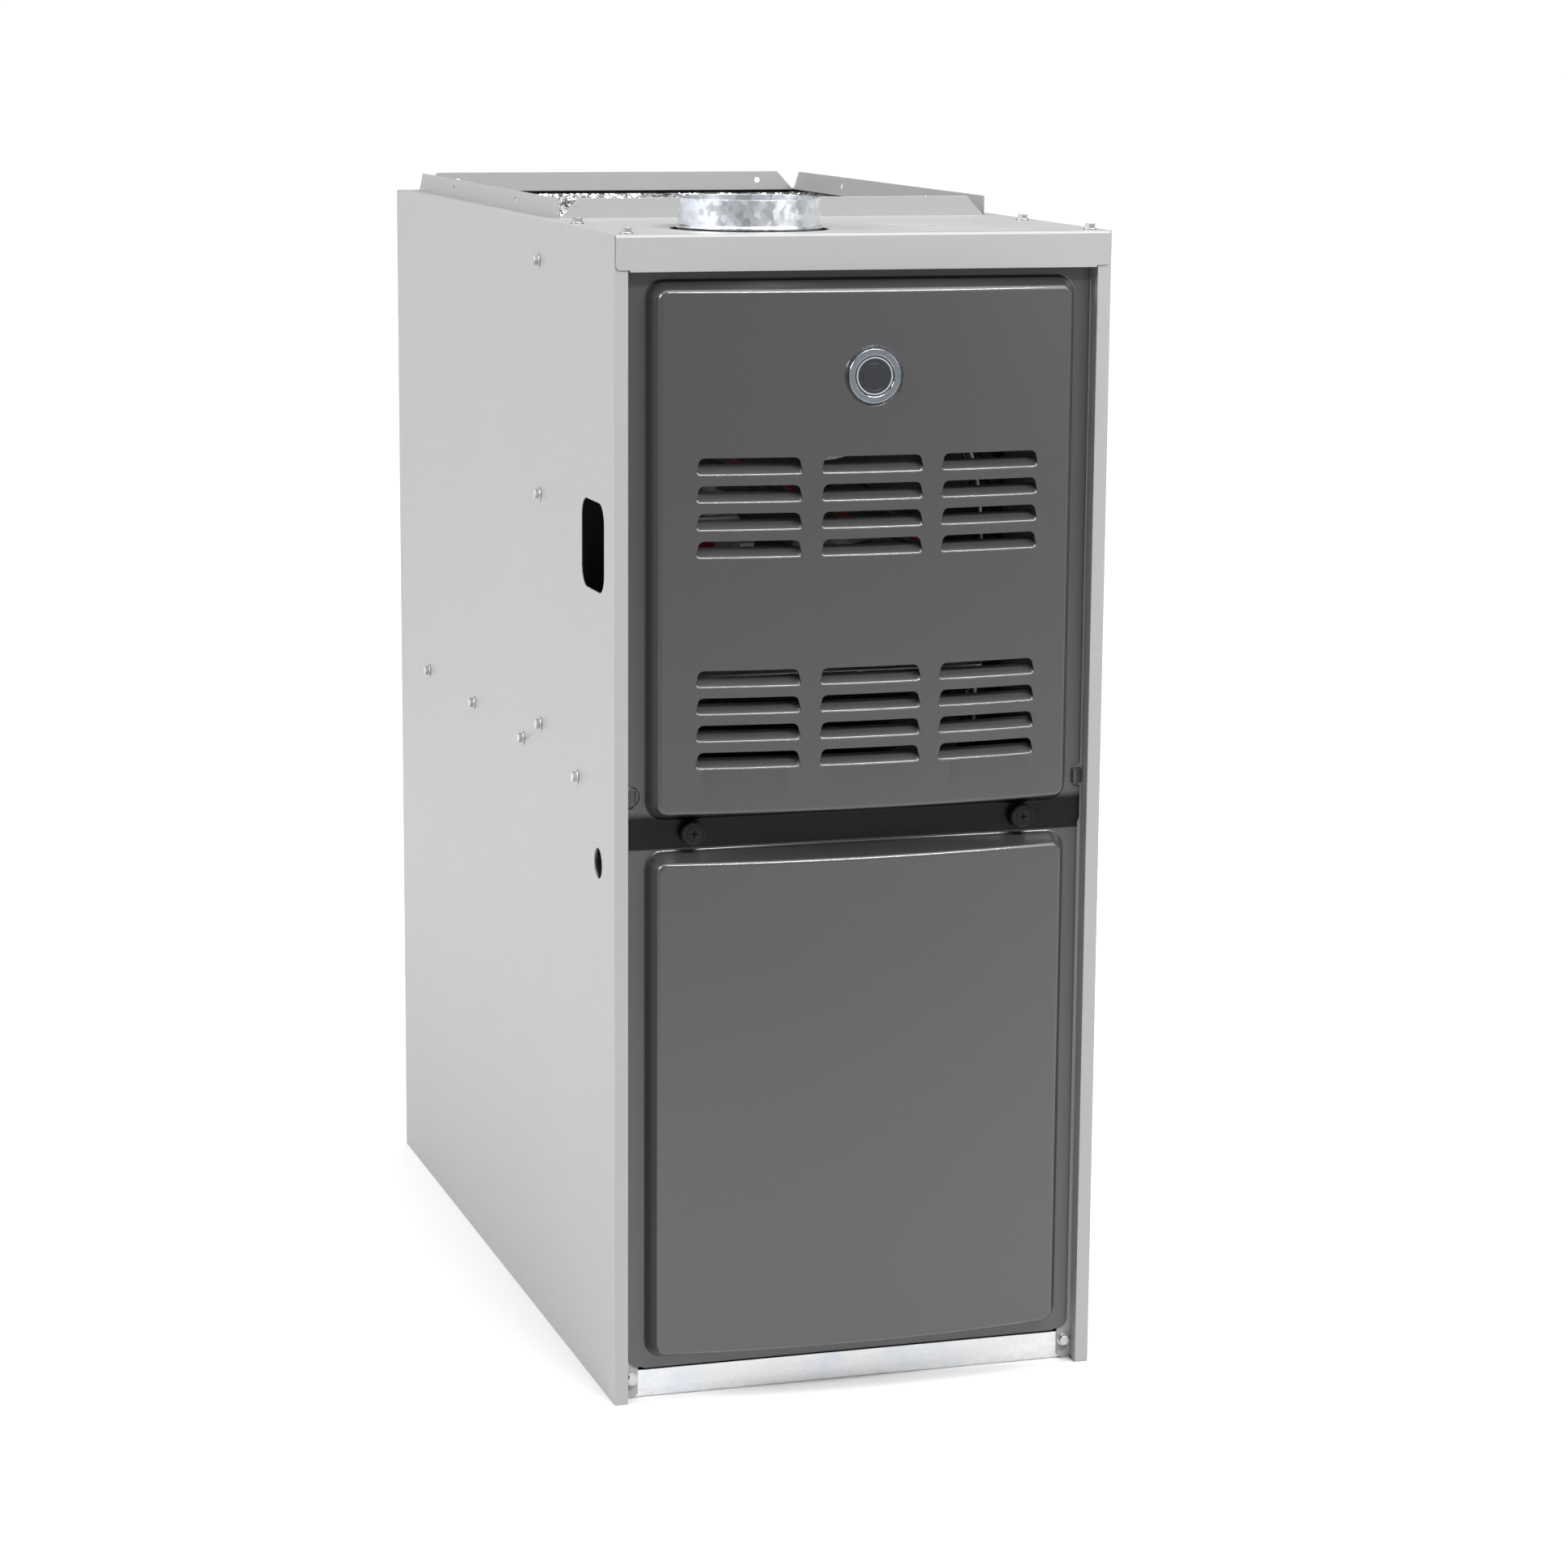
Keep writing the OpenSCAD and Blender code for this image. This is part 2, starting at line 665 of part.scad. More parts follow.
module burner_bracket() {
    x = bracket_x;
    b = duct_back - seat_gap;
    color("lightgray") from_front() difference() {
        union() {
            bar([-x, b - sheet, burner_z - 44], [x, b, burner_z + 42]);
            for (s = [-1, 1])
                bar([s * x, gas_back - 2, burner_z - 44], [s * (x - sheet), b, burner_z + 42]);
            bar([-x, gas_back - 2, burner_z - 44], [x, b, burner_z - 44 + sheet]);
        }
        for (x = burner_xs) rod_y([x, 0, burner_z], tube_r + 0.3, b + 1);
        for (s = [-1, 1]) rod_y([s * rollout_x, b - 10, burner_z + 30], 6.2, 20);
        rod_y([igniter_x, b - 10, burner_z - 24], 3.4, 20);
        rod_y([-igniter_x, b - 10, burner_z - 24], 2.4, 20);
    }
}

burner_mouth = 142;
burner_tip = duct_back - 6;
gas_back = 110;

// An inshot burner: a wide mouth, a throat and a flared flame head, on two feet.
module burners() {
    l = burner_tip - burner_mouth;
    color("silver") from_front() for (x = burner_xs) {
        translate([x, burner_mouth, burner_z]) rotate([-90, 0, 0])
            rotate_extrude() polygon(concat(
                [[17, 0], [18, 0]], arc(18, 14, 6, -90, -180, 6), [[11.5, 34]],
                arc(25.5, 46, 14, 200, 150, 6), [[16.5, l - 6], [16.5, l], [15.5, l]],
                [[15.5, l - 6], [10.5, 52], [10.5, 34], [11, 14], [12, 8]]));
        bar([x - 6, burner_mouth + 26, burner_z - 43 + 0.2], [x + 6, burner_mouth + 32, burner_z - 11.3]);
    }
}

module gas_manifold() {
    x = bracket_x - sheet - 0.3;
    start_x = valve_x1 + 0.2;
    bend_x = start_x + 22;
    r = manifold_r;
    color("dimgray") from_front() difference() {
        union() {
            rod_x([start_x, gas_line_back, gas_line_z], r, bend_x - start_x);
            translate([bend_x, gas_line_back, gas_line_z]) sphere(r = r);
            translate([bend_x, gas_line_back, burner_z]) cylinder(r = r, h = gas_line_z - burner_z);
            translate([bend_x, gas_line_back, burner_z]) sphere(r = r);
            rod_y([bend_x, gas_line_back, burner_z], r, gas_back - gas_line_back);
            rod_x([-x, gas_back, burner_z], r, 2 * x);
            for (s = [-1, 1]) rod_x([s * (x - 6) - 6, gas_back, burner_z], r + 2.4, 12, $fn = 8);
        }
        for (x = burner_xs) rod_y([x, gas_back, burner_z], 4.8, 20);
    }
}

module gas_orifices() {
    color("goldenrod") from_front() for (x = burner_xs) difference() {
        union() {
            rod_y([x, gas_back + 3, burner_z], 4.7, 18);
            translate([x, gas_back + manifold_r + 0.3, burner_z]) rotate([-90, 0, 0])
                cylinder(r = 6.4, h = 7, $fn = 6);
        }
        rod_y([x, gas_back, burner_z], 1.2, 40);
    }
}

valve_x0 = -half_w + 38;
valve_x1 = valve_x0 + valve_l;

module gas_valve() {
    y = gas_line_back;
    z = gas_line_z;
    color("darkgray") from_front() difference() {
        union() {
            translate([valve_x0 + 12, 0, 0]) sideways(
                rounded(y - 20, z - 22, y + 24, z + 20, 6), valve_l - 24);
            rod_x([valve_x0, y, z], 15, 13, $fn = 8);
            rod_x([valve_x1 - 13, y, z], 15, 13, $fn = 8);
            translate([valve_x0 + valve_l / 2 + 6, y + 2, z + 19]) cylinder(r = 15, h = 17);
            translate([valve_x0 + valve_l / 2 + 6, y + 2, z + 35]) cylinder(r = 9, h = 5);
            bar([valve_x0 + 16, y - 12, z + 19], [valve_x0 + 32, y + 18, z + 34]);
            rod_y([valve_x0 + valve_l / 2 - 8, y - 23, z], 14, 4);
        }
        rod_x([valve_x0 - 1, y, z], valve_bore_r, 22);
        rod_y([valve_x0 + valve_l / 2 - 8, y - 24, z], 4.2, 6);
    }
}

module gas_valve_knob() {
    y = gas_line_back - 23;
    translate([0, front_y, 0]) color("crimson") difference() {
        union() {
            rod_y([valve_knob_x, y - 8.3, gas_line_z], 12, 8);
            rod_y([valve_knob_x, y - 1, gas_line_z], 4.1, 4.5);
            bar([valve_knob_x - 2.6, y - 14, gas_line_z - 11],
                [valve_knob_x + 2.6, y - 8, gas_line_z + 11]);
        }
        bar([valve_knob_x - 0.5, y - 15, gas_line_z + 4], [valve_knob_x + 0.5, y - 13.4, gas_line_z + 12]);
    }
}

valve_knob_x = valve_x0 + valve_l / 2 - 8;
igniter_x = burner_pitch / 2;

module hot_surface_igniter() {
    b = duct_back - sheet - 2 * seat_gap;
    z = burner_z - 24;
    color("white") from_front() {
        bar([igniter_x - 9, b - 14, z - 7], [igniter_x + 9, b, z + 7]);
        rod_y([igniter_x, b - 26, z], 3, 12.1);
        for (s = [-1, 1])
            bar([igniter_x + s * 2 - 0.6, b - 50, z - 0.6], [igniter_x + s * 2 + 0.6, b - 25, z + 0.6]);
        bar([igniter_x - 2.6, b - 51, z - 0.6], [igniter_x + 2.6, b - 49.8, z + 0.6]);
    }
}

module flame_sensor() {
    b = duct_back - sheet - 2 * seat_gap;
    z = burner_z - 24;
    color("whitesmoke") from_front() {
        rod_y([-igniter_x, b - 22, z], 4.5, 22);
        rod_y([-igniter_x, b - 44, z], 1.4, 22.1);
    }
}

rollout_x = burner_pitch / 2;

module rollout_switches() {
    b = duct_back - sheet - 2 * seat_gap;
    z = burner_z + 30;
    color("silver") from_front() for (s = [-1, 1]) difference() {
        union() {
            rod_y([s * rollout_x, b - 9, z], 8, 9);
            bar([s * rollout_x - 13, b - sheet, z - 5], [s * rollout_x + 13, b, z + 5]);
            for (t = [-1, 1])
                bar([s * rollout_x + t * 5 - 0.4, b - 15, z - 3],
                    [s * rollout_x + t * 5 + 0.4, b - 8.9, z + 3]);
        }
        rod_y([s * rollout_x, b - 20, z], 2.6, 16);
    }
}

module rollout_button(side) {
    b = duct_back - sheet - 2 * seat_gap;
    from_front() rod_y([side * rollout_x, b - 13, burner_z + 30], 2.2, 6);
}

module rollout_button_left() {
    color("firebrick") rollout_button(-1);
}

module rollout_button_right() {
    color("firebrick") rollout_button(1);
}

/* ---- fans ---- */

// A fan scroll's outline: the radius grows from r0 at the cut-off to r1 at the outlet's
// outer wall, which rises to the height top over the shaft, and so does the cut-off.
function scroll(r0, r1, top, grow) = concat(
    [for (i = [0:30]) let(a = 45 - 225 * i / 30, r = r0 + (r1 - r0) * i / 30 + grow)
        [r * cos(a), r * sin(a)]],
    [[-r1 - grow, top], [(r0 + grow) * cos(45), top]]);

module inducer_housing() {
    r0 = inducer_wheel_r + 4;
    r1 = inducer_wheel_r + 16;
    t = 2;
    top = inducer_top;
    color("lightgray") from_front() difference() {
        union() {
            translate([inducer_x, inducer_back0, inducer_z])
                upright(scroll(r0, r1, top, t), inducer_w);
            translate([-flue_left, flue_back, inducer_z + top])
                cylinder(r = inducer_outlet_r, h = outlet_h);
            rod_y([inducer_x, inducer_back0 - 3, inducer_z], 24, 4);
            rod_x([nipple_x - 14, flue_back, inducer_z], 3, 14);
        }
        translate([inducer_x, inducer_back0 + t, inducer_z])
            upright(scroll(r0, r1, top - t, 0), inducer_w - 2 * t);
        translate([-flue_left, flue_back, inducer_z + top - t - 1])
            cylinder(r = inducer_outlet_r - t, h = outlet_h + 10);
        rod_y([inducer_x, flue_back, inducer_z], eye_r, inducer_w);
        rod_y([inducer_x, 0, inducer_z], 4.1, flue_back);
    }
}

inducer_top = inducer_wheel_r + 12;
nipple_x = inducer_x + inducer_wheel_r + 16;
outlet_h = 22;

module inducer_motor() {
    b = inducer_back0 - 3 - seat_gap;
    color("slategray") from_front() difference() {
        union() {
            translate([inducer_x, b - 19, inducer_z])
                upright(rounded(-34, -30, 30, 30, 4), 17);
            rod_y([inducer_x, b - 26, inducer_z], 17, 26);
            translate([inducer_x - 46, b - 18, inducer_z - 16])
                upright(rounded(0, 0, 20, 32, 5), 15);
            for (s = [-1, 1], t = [-1, 1])
                rod_y([inducer_x + s * 24, b - 2.1, inducer_z + t * 24], 3, 2.1);
        }
        rod_y([inducer_x, 0, inducer_z], 4.1, 80);
    }
}

module inducer_shaft() {
    color("silver") from_front()
        rod_y([inducer_x, inducer_back0 - 24, inducer_z], 4, inducer_w + 6);
}

module inducer_wheel() {
    t = 2;
    y0 = inducer_back0 + 6;
    w = inducer_w - 12;
    r = inducer_wheel_r - 2;
    color("lightgray") from_front() translate([inducer_x, y0, inducer_z]) difference() {
        union() {
            rod_y([0, 0, 0], r, t);
            rod_y([0, 0, 0], 11, 14);
            for (i = [0:11]) rotate([0, i * 30, 0]) bar([10, t - 0.1, -0.8], [r - 1, w, 0.8]);
        }
        rod_y([0, -1, 0], 4, w);
        rod_y([0, 14, 0], 20, w);
    }
}

module flue_collar() {
    r = collar_d / 2;
    t = collar_t;
    low = inducer_z + inducer_top + 3;
    seat = inducer_outlet_r + 0.3;
    top = cab_h + collar_rise;
    b = bead_r;
    level = cab_h + 1.5;
    color("silver") from_front() translate([-flue_left, flue_back, 0]) rotate_extrude($fn = 96)
        polygon(concat([[seat, low], [seat + t, low], [seat + t, low + 6], [r, low + 16]],
            [[r, level - b]], arc(r, level, b, -80, 80, 8), [[r, level + b], [r, top], [r - t, top]],
            [[r - t, low + 16.4], [seat, low + 6.4]]));
}

module pressure_switch() {
    b = duct_back - seat_gap;
    x = switch_x;
    color("dimgray") from_front() {
        rod_y([x, b - 20, switch_z], switch_r, 17);
        rod_y([x, b - 24, switch_z], 9, 4.1);
        rod_y([x, b - 3.1, switch_z], 12, 3.1);
        rod_y([x, b - switch_reach, switch_z], 3, 8);
    }
}

switch_reach = 32;
switch_r = 24;
switch_x = inner_x - shank_l - switch_r;
switch_z = inducer_z - 92;

/* ---- hose ---- */

// A tube with flat-sided rings along the points of a route.
function unit(v) = v / norm(v);
function along(p, i) = unit(p[min(i + 1, len(p) - 1)] - p[max(i - 1, 0)]);
module swept(p, r, sides) {
    n = len(p);
    rings = [for (i = [0:n - 1]) let(t = along(p, i), u = unit(cross(t, [0.13, 1, 0.07])), v = cross(t, u))
        for (k = [0:sides - 1]) p[i] + r * (cos(360 * k / sides) * u + sin(360 * k / sides) * v)];
    walls = [for (i = [0:n - 2], k = [0:sides - 1]) let(m = (k + 1) % sides)
        each [[i * sides + k, (i + 1) * sides + m, (i + 1) * sides + k],
            [i * sides + k, i * sides + m, (i + 1) * sides + m]]];
    polyhedron(rings, concat([[for (k = [0:sides - 1]) sides - 1 - k]], walls,
        [[for (k = [0:sides - 1]) (n - 1) * sides + k]]));
}

hose_r = 3.6;

module pressure_hose() {
    start = [switch_x, duct_back - seat_gap - switch_reach - 0.3, switch_z];
    end = [nipple_x + 0.3, flue_back, inducer_z];
    route = [start, start + [0, -8, 0], start + [-1, -17, 1], start + [-3, -27, 5],
        start + [-6, -37, 12], start + [-10, -47, 22], start + [-15, -56, 34],
        end + [61, 54, -45], end + [54, 44, -32], end + [45, 33, -20], end + [35, 22, -11],
        end + [24, 11, -5], end + [15, 3, -1], end + [8, 0, 0], end];
    color("black") from_front() swept(route, hose_r, 8);
}

module high_limit_switch() {
    b = duct_back;
    color("silver") from_front() {
        rod_y([0, b - 12, limit_z], 8, 20);
        bar([-15, b - sheet - 0.2, limit_z - 9], [15, b - 0.2, limit_z + 9]);
        for (s = [-1, 1]) bar([s * 4 - 0.4, b - 20, limit_z - 3], [s * 4 + 0.4, b - 11.9, limit_z + 3]);
    }
}

/* ---- blower ---- */

lip_rise = 3.8;
housing_sheet = 1.2;

module blower_housing() {
    t = housing_sheet;
    top = deck_z - scroll_z + 8;
    w = blower_w;
    shape = scroll(scroll_r0, scroll_r1, top, t);
    hollow = scroll(scroll_r0, scroll_r1, top + 5, 0);
    color("lightgray") from_front() translate([0, scroll_y, scroll_z]) difference() {
        union() {
            translate([-w / 2, 0, 0]) sideways(shape, w);
            translate([-w / 2 - lip_rise, 0, 0]) rotate([0, 90, 0])
                cylinder(r = inlet_r + 3, h = w + 2 * lip_rise, $fn = 96);
            for (s = [-1, 1]) bar([s * (w / 2 - t), -scroll_r1 - t, deck_z - scroll_z - 1.4],
                [s * (w / 2 + 14), scroll_r0 * cos(45), deck_z - scroll_z - seat_gap]);
        }
        translate([-w / 2 + t, 0, 0]) sideways(hollow, w - 2 * t);
        rod_x([-w, 0, 0], inlet_r, 2 * w, $fn = 96);
    }
}

module blower_motor_mount() {
    x0 = blower_w / 2 + lip_rise + seat_gap;
    color("dimgray") from_front() translate([0, scroll_y, scroll_z]) difference() {
        union() {
            rod_x([x0 - 12, 0, 0], motor_r + 2.3, 20);
            for (a = [90, 210, 330]) rotate([a, 0, 0])
                bar([x0, -9, motor_r], [x0 + 2.5, 9, inlet_r + 9]);
        }
        rod_x([x0 - 20, 0, 0], motor_r + 0.3, 60);
    }
}

module blower_motor() {
    x1 = blower_w / 2 + 16;
    color("darkslategray") from_front() translate([0, scroll_y, scroll_z]) difference() {
        union() {
            rod_x([x1 - motor_l, 0, 0], motor_r - 6, motor_l);
            rod_x([x1 - motor_l + 12, 0, 0], motor_r, motor_l - 24);
            rod_x([x1 - motor_l - 4, 0, 0], 20, motor_l + 8);
        }
        rod_x([x1 - motor_l - 5, 0, 0], 6.4, 60);
    }
}

module blower_shaft() {
    x1 = blower_w / 2 + 16;
    color("silver") from_front() translate([0, scroll_y, scroll_z])
        rod_x([-18, 0, 0], 6.35, x1 - motor_l + 60 + 12);
}

// Forward-curved blades between two end rings, carried by a disc at the middle.
module blower_wheel() {
    r = blower_wheel_r;
    w = blower_w - 24;
    blade = concat(arc(r - 12, 9, 12.6, -30, -118, 6), arc(r - 12, 9, 11.4, -118, -30, 6));
    color("silver") from_front() translate([0, scroll_y, scroll_z]) difference() {
        union() {
            for (i = [0:blade_n - 1]) rotate([i * 360 / blade_n, 0, 0])
                translate([-w / 2, 0, 0]) sideways(blade, w);
            for (x = [-w / 2, w / 2 - 4]) difference() {
                rod_x([x, 0, 0], r + 1, 4, $fn = 96);
                rod_x([x - 1, 0, 0], r - 3, 6, $fn = 96);
            }
            rod_x([-1, 0, 0], r, 2, $fn = 96);
            rod_x([-16, 0, 0], 16, 22);
        }
        rod_x([-20, 0, 0], 6.35, 40);
    }
}

/* ---- controls ---- */

trafo_w = 52;
trafo_x = inner_x - 7 - trafo_w / 2;
bracket_half_w = 88;
board_w = 156;
board_h = 104;
board_drop = 95;
board_x = trafo_x - trafo_w / 2 - 6 - bracket_half_w;
board_z = deck_z - board_drop;
board_back = 112;

module control_bracket() {
    color("lightsteelblue") from_front() {
        w = bracket_half_w;
        low = board_z - board_h / 2 - 10;
        bar([board_x - w, board_back, low], [board_x + w, board_back + sheet, deck_z - seat_gap]);
        bar([board_x - w, board_back, deck_z - sheet - seat_gap],
            [board_x + w, board_back + 16, deck_z - seat_gap]);
        bar([board_x - w, board_back, low], [board_x + w, board_back + 12, low + sheet]);
    }
}

module control_board() {
    b = board_back - 9;
    color("darkgreen") from_front() {
        bar([board_x - board_w / 2, b, board_z - board_h / 2],
            [board_x + board_w / 2, b + 1.6, board_z + board_h / 2]);
        for (s = [-1, 1], t = [-1, 1])
            rod_y([board_x + s * (board_w / 2 - 8), b + 1.5, board_z + t * (board_h / 2 - 8)],
                3.5, board_back - b - 1.7);
        for (i = [0:2])
            bar([board_x - 60 + i * 34, b - 16, board_z + 16],
                [board_x - 32 + i * 34, b + 0.1, board_z + 36]);
        bar([board_x + 44, b - 22, board_z - 6], [board_x + 70, b + 0.1, board_z + 40]);
        bar([board_x - 66, b - 12, board_z - 46], [board_x - 6, b + 0.1, board_z - 34]);
        bar([board_x + 6, b - 9, board_z - 44], [board_x + 46, b + 0.1, board_z - 30]);
        for (i = [0:3]) rod_y([board_x - 56 + i * 16, b - 12, board_z - 14], 5, 12.1);
    }
}

module transformer() {
    x = trafo_x;
    w = trafo_w / 2;
    top = deck_z - seat_gap;
    color("dimgray") from_front() {
        bar([x - w, 70, top - 50], [x + w, 90, top]);
        bar([x - w + 8, 60, top - 42], [x + w - 8, 100, top - 10]);
        bar([x - w, 66, top - 1.5], [x + w, 94, top]);
    }
}

cap_x = -blower_w / 2 - 26;
cap_y = duct_back + 90;

module run_capacitor() {
    z = deck_z - 96;
    color("silver") from_front() {
        translate([cap_x, cap_y, z]) cylinder(r = 20, h = 76);
        for (s = [-1, 1]) translate([cap_x + s * 7, cap_y, z - 8]) cylinder(r = 2.5, h = 8.1);
    }
}

module capacitor_strap() {
    z = deck_z - 66;
    color("silver") from_front() translate([cap_x, cap_y, z]) difference() {
        union() {
            cylinder(r = 21.2, h = 14);
            bar([-1, -21.2, 0], [26 - 0.2, -19.8, 14]);
            bar([24.6, -36, 0], [26 - 0.2, -19.8, 14]);
        }
        translate([0, 0, -1]) cylinder(r = 20.2, h = 16);
    }
}

plunger_x = 62;
plunger_z = split_z + 1;
plunger_r = 3;

module door_switch() {
    b = inner_flange_back + sheet + seat_gap;
    color("black") from_front() difference() {
        union() {
            bar([plunger_x - 14, b, plunger_z - 9], [plunger_x + 14, b + 30, plunger_z + 9]);
            bar([plunger_x - 22, b, plunger_z - 7], [plunger_x + 22, b + 2, plunger_z + 7]);
        }
        rod_y([plunger_x, b - 1, plunger_z], plunger_r + 0.3, 22);
    }
}

module door_switch_plunger() {
    tip = lower_back + door_sheet + 0.3;
    color("crimson") from_front() rod_y([plunger_x, tip, plunger_z], plunger_r, 14);
}

module junction_box() {
    x0 = -inner_x + seat_gap;
    y0 = wiring_hole_back - 26;
    z0 = wiring_hole_z - 30;
    color("silver") from_front() difference() {
        bar([x0, y0, z0], [x0 + 46, y0 + 60, z0 + 60]);
        bar([x0 + sheet, y0 - 1, z0 + sheet], [x0 + 46 - sheet, y0 + 60 - sheet, z0 + 60 - sheet]);
        rod_x([x0 - 1, wiring_hole_back, wiring_hole_z], wiring_hole_r + 1, 4);
        rod_x([x0 + 42, wiring_hole_back + 12, wiring_hole_z], 8, 8);
    }
}

/* ---- screws ---- */

module side_screws() {
    color("silver") from_front() for (s = [-1, 1]) {
        for (z = side_screw_zs) translate([s * half_w, screw_row_back, z])
            rotate([0, 0, s * 90]) hex_screw();
        for (b = deck_screw_backs) translate([s * half_w, b, deck_screw_z])
            rotate([0, 0, s * 90]) hex_screw();
    }
}

module top_screws() {
    color("silver") from_front() for (s = [-1, 1], b = top_screw_backs)
        translate([s * top_screw_x, b, cab_h]) rotate([-90, 0, 0]) hex_screw();
}

module rail_screws() {
    color("silver") from_front() for (s = [-1, 1])
        translate([s * rail_screw_x, inner_flange_back, rail_screw_z]) hex_screw();
}

module back_screws() {
    color("silver") from_front() for (s = [-1, 1], z = back_screw_zs)
        translate([s * back_screw_x, cab_d, z]) rotate([0, 0, 180]) hex_screw();
}

/* ---- doors ---- */

foot_bend_r = 2.2;

// One ring of the raised part: the rounded outline, inset by e, at the depth that drop gives
// below the crowned face, or at back where drop is undef. fine is how many steps a corner has.
function ring(z, e, drop, back, fine) =
    let(w = raised_half_w - e, z0 = z[0] + e, z1 = z[1] - e, r = raised_corner_r - e, n = fine,
        cx = w - r, across = 4 * fine, flat = [for (i = [1:across - 1]) cx - 2 * cx * i / across],
        points = concat(arc(cx, z0 + r, r, -90, 0, n), arc(cx, z1 - r, r, 0, 90, n),
            [for (x = flat) [x, z1]], arc(-cx, z1 - r, r, 90, 180, n),
            arc(-cx, z0 + r, r, 180, 270, n), [for (x = flat) [-x, z0]]))
    [for (p = points) [p[0], is_undef(drop) ? back : drop - crown(p[0]), p[1]]];

// The raised part of a door as a solid, seen from y = 0 of the door's face: t is how far
// its skin lies inside the outer one, and back how far it reaches behind the face.
module raised(z, t, back, fine) {
    e1 = raised_draft + t;
    r = raised_edge_r - t;
    bend = foot_bend_r + t;
    start = t > 0 ? bend * sin(25) - foot_bend_r : -foot_bend_r - 0.2;
    rings = concat([ring(z, start, undef, back, fine)],
        [for (a = [25, 50, 75])
            ring(z, bend * sin(a) - foot_bend_r, undef, bend * cos(a) - foot_bend_r, fine)],
        [for (a = [0:90 / fine:90]) ring(z, e1 + r * (1 - cos(a)), r * (1 - sin(a)) + t, 0, fine)]);
    points = [for (g = rings) each g];
    n = len(rings[0]);
    k = len(rings);
    m = 6 * fine + 1;
    walls = [for (i = [0:k - 2], j = [0:n - 1]) let(q = (j + 1) % n)
        each [[i * n + j, (i + 1) * n + q, (i + 1) * n + j], [i * n + j, i * n + q, (i + 1) * n + q]]];
    last = (k - 1) * n;
    // Upright strips between the upper and the lower half of a ring.
    strips = [for (j = [0:m - 2]) let(a = fine + 1 + j, b = (fine - j + n) % n,
            c = (fine - j - 1 + n) % n)
        each [[a, c, a + 1], [a, b, c]]];
    face = [for (f = strips) [for (v = f) v + last]];
    base = [for (f = strips) [f[2], f[1], f[0]]];
    polyhedron(points, concat(walls, face, base));
}

function louvre_folds() = [for (z = [louvre_low_z, louvre_high_z], i = [0:louvre_rows - 1])
    z + i * louvre_row_pitch];

module louvre_cut(x, z) {
    h = louvre_h;
    w = louvre_w / 2;
    r = louvre_corner_r;
    c = louvre_curl;
    upright(concat([[x - w, z + c], [x - w + c, z], [x + w - c, z], [x + w, z + c]],
        arc(x + w - louvre_taper - r, z + h - r, r, 0, 90, 4),
        arc(x - w + louvre_taper + r, z + h - r, r, 90, 180, 4)), raised_edge_r + 20);
}

// A blade lanced from the face on three sides and bent in about its lower edge, whose ends
// curl up into the corners of the cut.
module louvre_blade(x, z) {
    skin = 0.1;
    r = louvre_fold_r;
    outer = r - skin;
    inner = r - door_sheet + skin;
    turns = [for (i = [0:4]) louvre_bend * i / 4];
    reach = (louvre_h - r - 1) * [sin(louvre_bend), cos(louvre_bend)];
    front = [for (a = turns) [r - outer * cos(a), outer * sin(a)]];
    rear = [for (a = turns) [r - inner * cos(a), inner * sin(a)]];
    half = louvre_w / 2 - 0.4;
    near = 1 - louvre_curl / half;
    stations = [-1, -near, -0.5, 0, 0.5, near, 1];
    last = len(stations) - 1;
    n = 2 * len(turns) + 4;
    points = [for (i = [0:last]) let(end = i == 0 || i == last, tip = reach * (end ? 0.6 : 1),
            section = concat([[skin, -0.7], [door_sheet - skin, -0.7]], rear,
                [rear[4] + tip, front[4] + tip], [for (k = [4:-1:0]) front[k]]))
        for (p = section) let(in = 1 - louvre_taper / half * max(0, p[1]) / (louvre_h - 1))
            [x + half * stations[i] * in, p[0] - crown(x + half * stations[i]),
                z + p[1] + (end ? louvre_curl : 0)]];
    walls = [for (i = [0:last - 1], k = [0:n - 1]) let(q = (k + 1) % n)
        each [[i * n + k, (i + 1) * n + k, (i + 1) * n + q], [i * n + k, (i + 1) * n + q, i * n + q]]];
    caps = [for (k = [0:(n - 2) / 2 - 1]) let(a = k, b = n - 1 - k, c = k + 1, d = n - 2 - k)
        each [[a, c, b], [c, d, b]]];
    polyhedron(points, concat(caps, walls, [for (f = caps) [for (v = [2, 1, 0]) f[v] + last * n]]));
}

module badge_cup() {
    r = badge_recess_d / 2;
    h = badge_recess_h;
    translate([0, -crown(0) - h, badge_z]) rotate([-90, 0, 0])
        cylinder(r1 = r + badge_lip_w, r2 = r - badge_lip_w, h = 2 * h);
}

module upper_door_panel() {
    x = door_half_w;
    top = cab_h - fascia_h + 6;
    t = door_sheet;
    r = door_corner_r;
    fold = inner_flange_back - 0.3 - upper_back;
    color("dimgray") from_front(upper_back) {
        difference() {
            union() {
                upright(concat([[x, top], [-x, top]], arc(-x + r, split_z + r, r, 180, 270, 6),
                    arc(x - r, split_z + r, r, -90, 0, 6)), t);
                for (s = [-1, 1]) bar([s * x, 0, split_z + r], [s * (x - t), fold, top]);
                raised(upper_raised, 0, 0.1, 6);
            }
            raised(upper_raised, t, t + 1, 3);
            for (i = [-1:1], z = louvre_folds())
                translate([0, -crown(0) - 2, 0]) louvre_cut(i * louvre_col_pitch, z);
            for (s = [-1, 1]) {
                rod_y([s * x, -1, notch_z], notch_r, fold + 2);
                rod_y([s * thumb_x, -1, thumb_z], thumb_shank_r + 0.4, t + 2);
            }
            badge_cup();
        }
        for (i = [-1:1], z = louvre_folds()) louvre_blade(i * louvre_col_pitch, z);
        badge_floor();
    }
}

